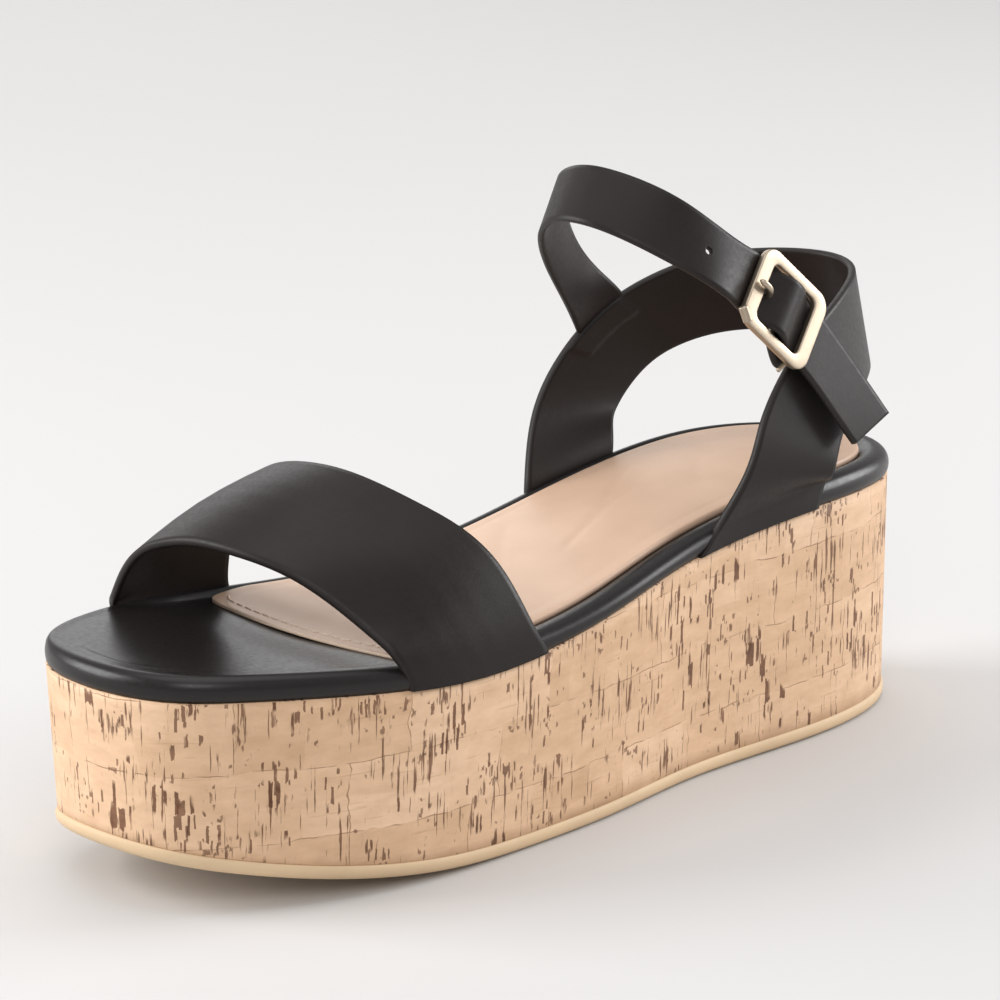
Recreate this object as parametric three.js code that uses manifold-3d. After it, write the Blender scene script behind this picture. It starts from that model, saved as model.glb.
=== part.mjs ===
import * as THREE from 'three';
import { mergeVertices } from 'three/addons/utils/BufferGeometryUtils.js';
import Module from 'manifold-3d';

// Left platform sandal with a wide toe strap, a heel band on two legs and a buckled ankle strap.
// Millimetres. +X points to the toe, +Y to the outer (little toe) side, +Z up.
// The origin is on the floor, under the middle of the sole's length.

const wasm = await Module();
wasm.setup();

// Sizes of the sole
const soleLength = 248;
const ballWidth = 80.6;
const heelWidth = 58.5;
const heelHeight = 58.5;
const toeSpring = 14;
const heelBevel = 1;
const outsoleThickness = 3.6;
const outsoleLip = 0.5;
const wallTaper = 1.8;
const heelTaper = 0.5;
const rimHeight = 6;
const rimWidth = 7;
const rimInnerShare = 0.55;
const rimOverhang = 0.3;
const dishDepth = 0.8;
const insoleThickness = 1.6;
const insoleRound = 0.6;
const insoleCrown = 1.2;
const insoleBow = 3;

// Sizes of the straps
const toeStrapThickness = 1.9;
const toeStrapRise = 42;
const toeStrapCrown = 1.6;
const bandThickness = 1.9;
const bandRise = 54.5;
const ankleStrapThickness = 1.5;
const ankleStrapWidth = 15.6;
const ankleStrapRise = 89;
const footProud = 0.7;

// Sizes of the buckle
const buckleLength = 25;
const buckleInnerLength = 16.8;
const sideBarWidth = 2.6;
const buckleThickness = 1.8;
const buckleCorner = 5;
const buckleInnerCorner = 2.4;
const buckleBevel = 0.35;
const centreBarRadius = 0.75;
const centreBarDrop = 1.3;
const tabThickness = 0.9;
const tabShift = 3;
const prongRadius = 0.8;
const prongEyeWidth = 2.6;
const prongEyeWall = 0.8;
const prongSink = 0.2;
const prongKnee = 3.2;
const prongRise = 5.6;
const prongRiseDrop = 0.6;
const prongTipBack = 0.6;
const prongTipDrop = 0.1;
const prongHoleLength = 4.4;
const prongHolePlace = 5.2;
const eyeSlotPlace = 0.4;
const eyeSlotSpare = 3;
const tabLap = 0.5;

// Gaps, and how far a cutting shape reaches past what it cuts
const clearance = 0.3;
const cutReach = 2;
const weldSize = 0.004;

// Places along the sole, as shares of its length
const heelWidthEnd = 0.3;
const ballWidthStart = 0.6;
const springStart = 0.6;
const bevelEnd = 0.08;
const taperStart = 0.04;
const taperEnd = 0.4;
const crownStart = 0.3;
const crownEnd = 0.6;
const insoleFront = { outer: 0.742, inner: 0.755 };
const levelStart = 0.77;
const levelEnd = 0.84;

// Ahead of the insole the rim's inner part, from its crest inwards, is level with its top. The
// places are shares of the rim's width, the height a share of its height.
const crestPlace = 0.36;
const innerPlace = 0.6;
const levelUp = 0.96;

// Heights of the outsole's lip, as shares of its thickness
const lipLow = 0.35;
const lipHigh = 0.75;

// Facings, as the sideways part of the outward direction, between which the rim grows wider
const innerFacing = -0.8;
const outerFacing = 0.2;

// Outline of the platform's top edge, heel to toe. along is a share of the sole's length,
// outer and inner are shares of the width at that place.
const outlineRows = [
  { along: 0.03, outer: 0.277, inner: 0.291 },
  { along: 0.10, outer: 0.444, inner: 0.451 },
  { along: 0.22, outer: 0.523, inner: 0.480 },
  { along: 0.36, outer: 0.538, inner: 0.426 },
  { along: 0.50, outer: 0.520, inner: 0.350 },
  { along: 0.62, outer: 0.516, inner: 0.412 },
  { along: 0.72, outer: 0.527, inner: 0.471 },
  { along: 0.82, outer: 0.479, inner: 0.467 },
  { along: 0.91, outer: 0.373, inner: 0.411 },
  { along: 0.97, outer: 0.248, inner: 0.312 },
];

// Height of the platform's top edge, as a share of the heel height.
const topRows = [
  { along: 0.00, height: 0.978 },
  { along: 0.20, height: 1.003 },
  { along: 0.35, height: 0.955 },
  { along: 0.45, height: 0.892 },
  { along: 0.55, height: 0.820 },
  { along: 0.65, height: 0.782 },
  { along: 0.85, height: 0.826 },
  { along: 1.00, height: 0.860 },
];

// Height of the rim along the sole, as a share of rimHeight.
const rimRiseRows = [
  { along: 0.00, height: 1.00 },
  { along: 0.22, height: 0.98 },
  { along: 0.42, height: 0.78 },
  { along: 0.62, height: 0.84 },
  { along: 0.84, height: 0.97 },
  { along: 1.00, height: 1.00 },
];

// Profile of the footbed's rolled rim, from its lower outer edge to the crease inside it.
// out is a share of the rim's width, up a share of its height.
const rimRows = [
  { out: -0.07, up: 0.00 },
  { out: 0.00, up: 0.12 },
  { out: 0.06, up: 0.40 },
  { out: 0.02, up: 0.68 },
  { out: -0.12, up: 0.90 },
  { out: -0.36, up: 1.00 },
  { out: -0.66, up: 0.96 },
  { out: -1.00, up: 0.72 },
];

// A strap's foot is given at heights up the rim, up being a share of the rim's height, and by the
// places of its front and rear corners as shares of the sole's length.
const toeStrapOuterFoot = [
  { up: 0.00, front: 0.765, rear: 0.594 },
  { up: 0.50, front: 0.769, rear: 0.599 },
  { up: 1.00, front: 0.775, rear: 0.606 },
];
const toeStrapInnerFoot = [
  { up: 0.00, front: 0.856, rear: 0.704 },
  { up: 0.50, front: 0.857, rear: 0.708 },
  { up: 1.00, front: 0.859, rear: 0.713 },
];

// Toe strap, outer foot to inner foot, above the rim. The front and rear edges are each given by
// at, a share of the sole's length, out, a share of half the ball width, and rise, a share of
// toeStrapRise above the platform's top edge.
const toeStrapRows = [
  { frontAt: 0.791, frontOut: 0.86, frontRise: 0.31, rearAt: 0.634, rearOut: 0.90, rearRise: 0.52 },
  { frontAt: 0.829, frontOut: 0.50, frontRise: 0.57, rearAt: 0.676, rearOut: 0.50, rearRise: 0.85 },
  { frontAt: 0.851, frontOut: 0.17, frontRise: 0.65, rearAt: 0.702, rearOut: 0.17, rearRise: 0.97 },
  { frontAt: 0.860, frontOut: -0.16, frontRise: 0.648, rearAt: 0.714, rearOut: -0.15, rearRise: 0.985 },
  { frontAt: 0.863, frontOut: -0.36, frontRise: 0.605, rearAt: 0.717, rearOut: -0.42, rearRise: 0.930 },
  { frontAt: 0.865, frontOut: -0.56, frontRise: 0.525, rearAt: 0.718, rearOut: -0.66, rearRise: 0.790 },
  { frontAt: 0.866, frontOut: -0.74, frontRise: 0.350, rearAt: 0.717, rearOut: -0.84, rearRise: 0.570 },
  { frontAt: 0.863, frontOut: -0.855, frontRise: 0.190, rearAt: 0.713, rearOut: -0.92, rearRise: 0.340 },
];

// Heel band, inner foot round the heel to outer foot, above the rim. front is its front and top
// edge, rear its rear and lower edge. out is a share of the heel width, rise a share of bandRise.
const bandInnerFoot = [
  { up: 0.00, front: 0.370, rear: 0.250 },
  { up: 0.50, front: 0.370, rear: 0.248 },
  { up: 1.00, front: 0.370, rear: 0.246 },
];
const bandOuterFoot = [
  { up: 0.00, front: 0.363, rear: 0.190 },
  { up: 0.50, front: 0.349, rear: 0.185 },
  { up: 1.00, front: 0.336, rear: 0.180 },
];
const bandRows = [
  { frontAt: 0.337, frontOut: -0.545, frontRise: 0.339, rearAt: 0.220, rearOut: -0.565, rearRise: 0.275 },
  { frontAt: 0.298, frontOut: -0.573, frontRise: 0.569, rearAt: 0.188, rearOut: -0.585, rearRise: 0.404 },
  { frontAt: 0.257, frontOut: -0.559, frontRise: 0.734, rearAt: 0.156, rearOut: -0.566, rearRise: 0.495 },
  { frontAt: 0.210, frontOut: -0.513, frontRise: 0.859, rearAt: 0.121, rearOut: -0.515, rearRise: 0.552 },
  { frontAt: 0.159, frontOut: -0.441, frontRise: 0.943, rearAt: 0.087, rearOut: -0.439, rearRise: 0.580 },
  { frontAt: 0.113, frontOut: -0.342, frontRise: 0.985, rearAt: 0.054, rearOut: -0.337, rearRise: 0.583 },
  { frontAt: 0.071, frontOut: -0.180, frontRise: 1.000, rearAt: 0.032, rearOut: -0.170, rearRise: 0.570 },
  { frontAt: 0.054, frontOut: 0.030, frontRise: 1.002, rearAt: 0.025, rearOut: 0.030, rearRise: 0.545 },
  { frontAt: 0.074, frontOut: 0.220, frontRise: 0.990, rearAt: 0.047, rearOut: 0.210, rearRise: 0.528 },
  { frontAt: 0.112, frontOut: 0.345, frontRise: 0.965, rearAt: 0.077, rearOut: 0.325, rearRise: 0.510 },
  { frontAt: 0.160, frontOut: 0.445, frontRise: 0.916, rearAt: 0.108, rearOut: 0.420, rearRise: 0.485 },
  { frontAt: 0.211, frontOut: 0.520, frontRise: 0.836, rearAt: 0.135, rearOut: 0.500, rearRise: 0.448 },
  { frontAt: 0.256, frontOut: 0.565, frontRise: 0.698, rearAt: 0.165, rearOut: 0.555, rearRise: 0.389 },
  { frontAt: 0.290, frontOut: 0.600, frontRise: 0.528, rearAt: 0.183, rearOut: 0.592, rearRise: 0.310 },
  { frontAt: 0.312, frontOut: 0.600, frontRise: 0.302, rearAt: 0.191, rearOut: 0.590, rearRise: 0.201 },
];

// Ankle strap, from where it leaves the inner side of the heel band, over the instep to the
// buckle, and its tail behind the buckle. along, out and rise place its centre line, rise being a
// share of ankleStrapRise. leanAlong, leanOut and leanUp point from its lower to its upper edge.
const ankleRows = [
  { along: 0.272, out: -0.530, rise: 0.546, leanAlong: -12.4, leanOut: -3.5, leanUp: 7.8 },
  { along: 0.350, out: -0.359, rise: 0.762, leanAlong: -7.4, leanOut: -2.0, leanUp: 13.4 },
  { along: 0.401, out: -0.115, rise: 0.908, leanAlong: -9.9, leanOut: -2.7, leanUp: 12.0 },
  { along: 0.409, out: 0.034, rise: 0.939, leanAlong: -10.4, leanOut: -2.0, leanUp: 11.4 },
  { along: 0.404, out: 0.181, rise: 0.936, leanAlong: -10.8, leanOut: -1.6, leanUp: 11.0 },
  { along: 0.365, out: 0.422, rise: 0.857, leanAlong: -10.9, leanOut: -2.9, leanUp: 11.6 },
  { along: 0.312, out: 0.540, rise: 0.739, leanAlong: -10.4, leanOut: -5.0, leanUp: 10.1 },
];
const tailRows = [
  { along: 0.220, out: 0.590, rise: 0.502, leanAlong: -10.9, leanOut: -4.0, leanUp: 11.0 },
  { along: 0.176, out: 0.621, rise: 0.343, leanAlong: -13.4, leanOut: -3.6, leanUp: 7.4 },
  { along: 0.150, out: 0.647, rise: 0.242, leanAlong: -14.2, leanOut: -2.4, leanUp: 4.6 },
];

// The buckle's centre, and a place behind it that it points to from the last of ankleRows
const bucklePlace = { along: 0.2605, out: 0.593, rise: 0.620 };
const buckleAim = { along: 0.205, out: 0.612, rise: 0.456, leanAlong: -12.1, leanOut: -2.4, leanUp: 10.4 };

// Where the ankle strap and the buckle's tab are sewn into the band, from their ends to the band's
// top edge. near and far are shares of the band's length, deep is a share of its width.
const strapSeam = [
  { near: 0.188, far: 0.262, deep: 0.28 },
  { near: 0.207, far: 0.275, deep: 0.03 },
];
const tabSeam = [
  { near: 0.812, far: 0.750, deep: 0.30 },
  { near: 0.803, far: 0.740, deep: 0.04 },
];

// Natural cubic spline through rows of numbers at rising knots, as a function of the knot value.
function spline(knots, rows) {
  const last = knots.length - 1;
  const gap = knots.slice(1).map((knot, i) => knot - knots[i]);
  const bends = rows[0].map((_, column) => {
    const value = rows.map((row) => row[column]);
    const upper = new Array(last + 1).fill(0);
    const bend = new Array(last + 1).fill(0);
    for (let i = 1; i < last; i += 1) {
      const step = (value[i + 1] - value[i]) / gap[i] - (value[i] - value[i - 1]) / gap[i - 1];
      const pivot = 2 * (gap[i - 1] + gap[i]) - gap[i - 1] * upper[i - 1];
      upper[i] = gap[i] / pivot;
      bend[i] = (6 * step - gap[i - 1] * bend[i - 1]) / pivot;
    }
    for (let i = last - 1; i > 0; i -= 1) bend[i] -= upper[i] * bend[i + 1];
    return bend;
  });
  return (at) => {
    let i = 0;
    while (i < last - 1 && at > knots[i + 1]) i += 1;
    const a = (knots[i + 1] - at) / gap[i];
    const b = 1 - a;
    const curve = (gap[i] * gap[i]) / 6;
    return rows[i].map((value, column) => a * value + b * rows[i + 1][column]
      + curve * ((a * a * a - a) * bends[column][i] + (b * b * b - b) * bends[column][i + 1]));
  };
}

// Distance travelled along a list of points, as rising knots.
function travelled(points) {
  const knots = [0];
  for (let i = 1; i < points.length; i += 1) {
    knots.push(knots[i - 1] + points[i].distanceTo(points[i - 1]));
  }
  return knots;
}

const mix = THREE.MathUtils.lerp;
const xAt = (along) => (along - 0.5) * soleLength;
const alongAt = (x) => THREE.MathUtils.clamp(x / soleLength + 0.5, 0, 1);
const { smoothstep } = THREE.MathUtils;
const widthAt = (along) => mix(heelWidth, ballWidth, smoothstep(along, heelWidthEnd, ballWidthStart));

// Closed outline of the platform's top edge: outer side heel to toe, then inner side back.
const heelTip = new THREE.Vector2(xAt(0), 0);
const toeTip = new THREE.Vector2(xAt(1), 0);
const plan = (along, out) => new THREE.Vector2(xAt(along), out * widthAt(along));
const outerPoints = outlineRows.map((row) => plan(row.along, row.outer));
const innerPoints = outlineRows.map((row) => plan(row.along, -row.inner));
const loop = [heelTip, ...outerPoints, toeTip, ...innerPoints.reverse()];
const wrap = 3;
const wrapped = [...loop.slice(-wrap), ...loop, ...loop.slice(0, wrap + 1)];
const loopKnots = travelled(wrapped);
const loopSpline = spline(loopKnots, wrapped.map((point) => [point.x, point.y]));
const heelKnot = loopKnots[wrap];
const toeKnot = loopKnots[wrap + 1 + outerPoints.length];
const heelEndKnot = loopKnots[wrap + loop.length];

// Point of the outline moved outwards by offset. side is 1 for outer, -1 for inner, and share runs
// from 0 at the heel to 1 at the toe along that side.
function outlinePoint(side, share, offset = 0) {
  const knot = side > 0 ? mix(heelKnot, toeKnot, share) : mix(heelEndKnot, toeKnot, share);
  const small = 0.05;
  const [x, y] = loopSpline(knot);
  const [beforeX, beforeY] = loopSpline(knot - small);
  const [afterX, afterY] = loopSpline(knot + small);
  const normal = new THREE.Vector2(beforeY - afterY, afterX - beforeX).normalize();
  return new THREE.Vector2(x, y).addScaledVector(normal, offset);
}

// The same with an inset that shrinks to innerShare of itself round the inner side.
function insetPoint(side, share, offset, innerShare) {
  const edge = outlinePoint(side, share);
  const facing = outlinePoint(side, share, 1).sub(edge);
  const scale = mix(innerShare, 1, smoothstep(facing.y, innerFacing, outerFacing));
  return edge.addScaledVector(facing, offset * scale);
}

// How far along one side of the outline a place lies that is given by its share of the sole's
// length, and the outline point there.
function shareAtPlace(side, along) {
  let low = 0;
  let high = 1;
  for (let i = 0; i < 30; i += 1) {
    const middle = (low + high) / 2;
    if (outlinePoint(side, middle).x < xAt(along)) low = middle;
    else high = middle;
  }
  return low;
}

const edgePoint = (side, along, offset) => outlinePoint(side, shareAtPlace(side, along), offset);

// Height of the platform's top edge and of the sole's underside.
const topSpline = spline(topRows.map((row) => row.along), topRows.map((row) => [row.height]));
const topHeight = (x) => topSpline(alongAt(x))[0] * heelHeight;
const rimSpline = spline(rimRiseRows.map((row) => row.along), rimRiseRows.map((row) => [row.height]));
const rimHeightAt = (x) => rimSpline(alongAt(x))[0] * rimHeight;
function underside(x) {
  const spring = Math.max(0, (alongAt(x) - springStart) / (1 - springStart));
  const bevel = Math.max(0, (bevelEnd - alongAt(x)) / bevelEnd);
  return toeSpring * spring * spring + heelBevel * bevel * bevel;
}

// Geometry from points and triangles, with its faces turned outwards.
function closedGeometry(points, triangles) {
  let volume = 0;
  for (const [a, b, c] of triangles) volume += points[a].dot(points[b].clone().cross(points[c]));
  const facing = volume > 0 ? triangles : triangles.map(([a, b, c]) => [a, c, b]);
  const geometry = new THREE.BufferGeometry().setFromPoints(points);
  geometry.setIndex(facing.flat());
  geometry.computeVertexNormals();
  return geometry;
}

// A body whose sides are closed rings of equal length, closed below and above by rows of steps
// that run from the outer side of a ring to its inner side. lift adds height inside the top ring.
const ringHalf = 30;
function alongRing(points, heightAt) {
  return points.map((point) => new THREE.Vector3(point.x, point.y, heightAt(point.x)));
}
function ringOf(pointAt, heightAt) {
  const points = [];
  for (let i = 0; i <= ringHalf; i += 1) points.push(pointAt(1, i / ringHalf));
  for (let i = ringHalf - 1; i > 0; i -= 1) points.push(pointAt(-1, i / ringHalf));
  return alongRing(points, heightAt);
}

function stackedBody(rings, { bottomSteps = 1, topSteps = 1, lift = () => 0 } = {}) {
  const half = rings[0].length / 2;
  const count = 2 * half;
  const points = rings.flat();
  const triangles = [];
  for (let level = 0; level + 1 < rings.length; level += 1) {
    for (let i = 0; i < count; i += 1) {
      const a = level * count + i;
      const b = level * count + ((i + 1) % count);
      triangles.push([a, a + count, b], [b, a + count, b + count]);
    }
  }
  const close = (start, steps, heightAdded, flip) => {
    const rows = [];
    for (let i = 1; i < half; i += 1) {
      const outer = start + i;
      const inner = start + count - i;
      const row = [outer];
      for (let step = 1; step < steps; step += 1) {
        const share = step / steps;
        const point = points[outer].clone().lerp(points[inner], share);
        point.z += heightAdded(point.x, share);
        row.push(points.push(point) - 1);
      }
      rows.push([...row, inner]);
    }
    const add = (a, b, c) => triangles.push(flip ? [a, c, b] : [a, b, c]);
    rows.forEach((row, i) => {
      for (let step = 0; step < steps; step += 1) {
        if (i === 0) add(start, row[step + 1], row[step]);
        if (i === rows.length - 1) add(start + half, row[step], row[step + 1]);
        else {
          add(row[step], row[step + 1], rows[i + 1][step]);
          add(rows[i + 1][step], row[step + 1], rows[i + 1][step + 1]);
        }
      }
    });
  };
  close(0, bottomSteps, () => 0, true);
  close((rings.length - 1) * count, topSteps, lift, false);
  return closedGeometry(points, triangles);
}

// Sole pieces. The wall leans in by its taper towards the floor, least at the heel.
function wallRing(share, lip, heightAt) {
  return ringOf((side, place) => {
    const along = alongAt(outlinePoint(side, place).x);
    const taper = mix(heelTaper, wallTaper, smoothstep(along, taperStart, taperEnd));
    return outlinePoint(side, place, lip - share * taper);
  }, heightAt);
}

function outsoleGeometry() {
  return stackedBody([
    wallRing(1, 0, underside),
    wallRing(1, outsoleLip, (x) => underside(x) + outsoleThickness * lipLow),
    wallRing(1, outsoleLip, (x) => underside(x) + outsoleThickness * lipHigh),
    wallRing(1, 0, (x) => underside(x) + outsoleThickness),
  ]);
}

function platformGeometry() {
  const base = (x) => underside(x) + outsoleThickness + clearance;
  const levels = [0, 0.33, 0.67, 1];
  return stackedBody(levels.map((level) => wallRing(1 - level, 0, (x) => mix(base(x), topHeight(x), level))));
}

const rimOffset = (row) => rimOverhang + rimWidth * (row.out - 0.06);
const creaseRow = rimRows[rimRows.length - 1];
const footbedBase = (x) => topHeight(x) + clearance;
const footbedDish = (x, share) => -dishDepth * Math.sin(Math.PI * share) ** 2;
function rimUp(row, x) {
  const level = smoothstep(alongAt(x), levelStart, levelEnd) * smoothstep(-row.out, crestPlace, innerPlace);
  return mix(row.up, Math.max(row.up, levelUp), level);
}

function footbedGeometry() {
  const heightAt = (row) => (x) => footbedBase(x) + rimUp(row, x) * rimHeightAt(x);
  const rings = rimRows.map((row) => ringOf(
    (side, place) => insetPoint(side, place, rimOffset(row), rimInnerShare),
    heightAt(row),
  ));
  return stackedBody(rings, { topSteps: 6, lift: footbedDish });
}

// The insole lies inside the rim's crease, from the heel to a front edge under the toe strap.
const insoleSideSteps = 26;
const insoleFrontSteps = 8;
function insoleRing(offset, heightAt) {
  const sidePoints = (side, along) => {
    const front = shareAtPlace(side, along);
    return Array.from({ length: insoleSideSteps + 1 }, (_, i) => (
      insetPoint(side, (front * i) / insoleSideSteps, offset, rimInnerShare)));
  };
  const outer = sidePoints(1, insoleFront.outer);
  const inner = sidePoints(-1, insoleFront.inner).reverse();
  const front = [];
  for (let i = 1; i < insoleFrontSteps; i += 1) {
    const point = outer[insoleSideSteps].clone().lerp(inner[0], i / insoleFrontSteps);
    point.x += insoleBow * Math.sin((Math.PI * i) / insoleFrontSteps);
    front.push(point);
  }
  return alongRing([...outer, ...front, ...inner.slice(0, -1)], heightAt);
}

const insoleOffset = rimOffset(creaseRow) - clearance;
const insoleBase = (x) => footbedBase(x) + creaseRow.up * rimHeightAt(x) + clearance;
function insoleGeometry() {
  const rings = [
    insoleRing(insoleOffset, insoleBase),
    insoleRing(insoleOffset, (x) => insoleBase(x) + insoleThickness - insoleRound),
    insoleRing(insoleOffset - insoleRound, (x) => insoleBase(x) + insoleThickness),
  ];
  const heelShare = (x) => 1 - smoothstep(alongAt(x), crownStart, crownEnd);
  return stackedBody(rings, {
    bottomSteps: 1,
    topSteps: 6,
    lift: (x, share) => insoleCrown * heelShare(x) * Math.sin(Math.PI * share),
  });
}

// Straps: a surface through rows of points, each row running from the front edge to the rear edge.
function strapSurface(rows) {
  const middle = Math.floor(rows[0].length / 2);
  const knots = travelled(rows.map((row) => row[middle]));
  const length = knots[knots.length - 1];
  const curve = spline(knots, rows.map((row) => row.flatMap((point) => point.toArray())));
  const columns = rows[0].length - 1;
  return (share, acrossShare) => {
    const values = curve(share * length);
    const column = THREE.MathUtils.clamp(Math.floor(acrossShare * columns), 0, columns - 1);
    const part = acrossShare * columns - column;
    const at = (index) => new THREE.Vector3().fromArray(values, 3 * index);
    return at(column).lerp(at(column + 1), part);
  };
}

function surfaceNormal(surface, share, acrossShare) {
  const small = 0.002;
  const lengthwise = surface(share + small, acrossShare).sub(surface(share - small, acrossShare));
  const widthwise = surface(share, 1).sub(surface(share, 0));
  return lengthwise.cross(widthwise).normalize();
}

// A wall of the given thickness about a strap's surface. grow makes it larger all round, as the
// shape that its neighbour is cut with, its ends by lengthGrow of the strap's length for each unit.
const lengthGrow = 0.02;
function strapGeometry(surface, thickness, lengthSteps, acrossSteps, grow = 0) {
  const across = surface(0.5, 0).distanceTo(surface(0.5, 1));
  const shareAt = (i) => mix(-grow * lengthGrow, 1 + grow * lengthGrow, i / lengthSteps);
  const acrossAt = (j) => mix(-grow / across, 1 + grow / across, j / acrossSteps);
  const points = [];
  const index = (side, i, j) => side * (lengthSteps + 1) * (acrossSteps + 1) + i * (acrossSteps + 1) + j;
  for (const side of [-0.5, 0.5]) {
    for (let i = 0; i <= lengthSteps; i += 1) {
      for (let j = 0; j <= acrossSteps; j += 1) {
        const normal = surfaceNormal(surface, shareAt(i), acrossAt(j));
        points.push(surface(shareAt(i), acrossAt(j)).addScaledVector(normal, side * (thickness + 2 * grow)));
      }
    }
  }
  const triangles = [];
  const quad = (a, b, c, d) => triangles.push([a, b, c], [a, c, d]);
  for (let i = 0; i < lengthSteps; i += 1) {
    for (let j = 0; j < acrossSteps; j += 1) {
      quad(index(0, i, j), index(0, i, j + 1), index(0, i + 1, j + 1), index(0, i + 1, j));
      quad(index(1, i, j), index(1, i + 1, j), index(1, i + 1, j + 1), index(1, i, j + 1));
    }
    quad(index(0, i, 0), index(0, i + 1, 0), index(1, i + 1, 0), index(1, i, 0));
    const last = acrossSteps;
    quad(index(0, i, last), index(1, i, last), index(1, i + 1, last), index(0, i + 1, last));
  }
  for (let j = 0; j < acrossSteps; j += 1) {
    const last = lengthSteps;
    quad(index(0, 0, j), index(1, 0, j), index(1, 0, j + 1), index(0, 0, j + 1));
    quad(index(0, last, j), index(0, last, j + 1), index(1, last, j + 1), index(1, last, j));
  }
  return closedGeometry(points, triangles);
}

// A strap's foot is let into the outside of the rim and stands on the platform's top edge.
const acrossColumns = 6;
const columnShares = Array.from({ length: acrossColumns + 1 }, (_, i) => i / acrossColumns);
function footRows(side, table, thickness) {
  return table.map((row) => columnShares.map((share) => {
    const point = edgePoint(side, mix(row.front, row.rear, share), footProud - thickness / 2);
    const height = footbedBase(point.x) + row.up * rimHeightAt(point.x);
    return new THREE.Vector3(point.x, point.y, height);
  }));
}

function straightRow(front, rear, bulge) {
  return columnShares.map((share) => (
    front.clone().lerp(rear, share).addScaledVector(bulge, Math.sin(Math.PI * share))));
}

function toeStrapSurface() {
  const rows = toeStrapRows.map((row) => {
    const place = (along, out, rise) => {
      const x = xAt(along);
      return new THREE.Vector3(x, (out * ballWidth) / 2, topHeight(x) + rise * toeStrapRise);
    };
    const front = place(row.frontAt, row.frontOut, row.frontRise);
    const rear = place(row.rearAt, row.rearOut, row.rearRise);
    const centre = front.clone().add(rear).multiplyScalar(0.5);
    const outward = new THREE.Vector3(0, centre.y, centre.z - topHeight(centre.x)).normalize();
    return straightRow(front, rear, outward.multiplyScalar(toeStrapCrown));
  });
  const outerFoot = footRows(1, toeStrapOuterFoot, toeStrapThickness);
  const innerFoot = footRows(-1, toeStrapInnerFoot, toeStrapThickness).reverse();
  return strapSurface([...outerFoot, ...rows, ...innerFoot]);
}

const bandBase = topHeight(xAt(0));
function bandSurface() {
  const place = (along, out, rise) => (
    new THREE.Vector3(xAt(along), out * heelWidth, bandBase + rise * bandRise));
  const flat = new THREE.Vector3();
  const rows = bandRows.map((row) => straightRow(
    place(row.frontAt, row.frontOut, row.frontRise),
    place(row.rearAt, row.rearOut, row.rearRise),
    flat,
  ));
  const innerFoot = footRows(-1, bandInnerFoot, bandThickness);
  const outerFoot = footRows(1, bandOuterFoot, bandThickness).reverse();
  return strapSurface([...innerFoot, ...rows, ...outerFoot]);
}

const band = bandSurface();

// A row of points within the band's wall, from one share of its length to another. The strap and
// the tab are sewn between its two leathers.
const seamRow = ({ near, far, deep }) => columnShares.map((share) => band(mix(near, far, share), deep));

// The ankle strap's own places
function ankleCentre(row) {
  return new THREE.Vector3(xAt(row.along), row.out * heelWidth, bandBase + row.rise * ankleStrapRise);
}
const leanOf = (row) => new THREE.Vector3(row.leanAlong, row.leanOut, row.leanUp).normalize();
function leanRow(centre, lean) {
  const lower = centre.clone().addScaledVector(lean, -ankleStrapWidth / 2);
  const upper = centre.clone().addScaledVector(lean, ankleStrapWidth / 2);
  return straightRow(lower, upper, new THREE.Vector3());
}

// The buckle lies in the strap's own plane: lengthwise towards the tail, across from lower to
// upper edge, outward away from the foot.
const beforeBuckle = ankleRows[ankleRows.length - 1];
const lengthwise = ankleCentre(buckleAim).sub(ankleCentre(beforeBuckle)).normalize();
const meanLean = leanOf(beforeBuckle).add(leanOf(buckleAim));
const outward = lengthwise.clone().cross(meanLean).normalize();
const across = outward.clone().cross(lengthwise);
const buckleFrame = new THREE.Matrix4().makeBasis(lengthwise, across, outward);
buckleFrame.setPosition(ankleCentre(bucklePlace));
const inBuckle = (u, v, n) => new THREE.Vector3(u, v, n).applyMatrix4(buckleFrame);

const eyeInner = centreBarRadius + clearance;
const eyeOuter = eyeInner + tabThickness;
const strapOverBar = eyeOuter - centreBarDrop + clearance + ankleStrapThickness / 2;
const strapUnderBars = -(buckleThickness / 2 + clearance + ankleStrapThickness / 2);
const barNear = buckleInnerLength / 2;
const barFar = buckleLength / 2;

function ankleSurface() {
  const wave = [[-barFar, strapUnderBars], [-barNear, strapUnderBars], [0, strapOverBar],
    [barNear, strapUnderBars], [barFar, strapUnderBars]];
  return strapSurface([
    ...strapSeam.map(seamRow),
    ...ankleRows.map((row) => leanRow(ankleCentre(row), leanOf(row))),
    ...wave.map(([u, n]) => leanRow(inBuckle(u, 0, n), across)),
    ...tailRows.map((row) => leanRow(ankleCentre(row), leanOf(row))),
  ]);
}

// The buckle's tab runs from inside the band to an eye round the centre bar.
function tabSurface() {
  const half = ankleStrapWidth / 2;
  const underStrap = strapUnderBars - ankleStrapThickness / 2 - clearance - tabThickness;
  const row = (u, shift, n) => (
    straightRow(inBuckle(u, shift - half, n), inBuckle(u, shift + half, n), new THREE.Vector3()));
  return strapSurface([
    ...tabSeam.map(seamRow),
    row(barNear, -tabShift, underStrap),
    row(tabLap, 0, -centreBarDrop - eyeOuter + tabThickness),
  ]);
}

// Joins and cuts
function solid(geometry) {
  const bare = geometry.clone();
  bare.deleteAttribute('normal');
  bare.deleteAttribute('uv');
  const merged = mergeVertices(bare, 1e-5);
  return new wasm.Manifold(new wasm.Mesh({
    numProp: 3,
    vertProperties: new Float32Array(merged.attributes.position.array),
    triVerts: new Uint32Array(merged.index.array),
  }));
}

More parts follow.
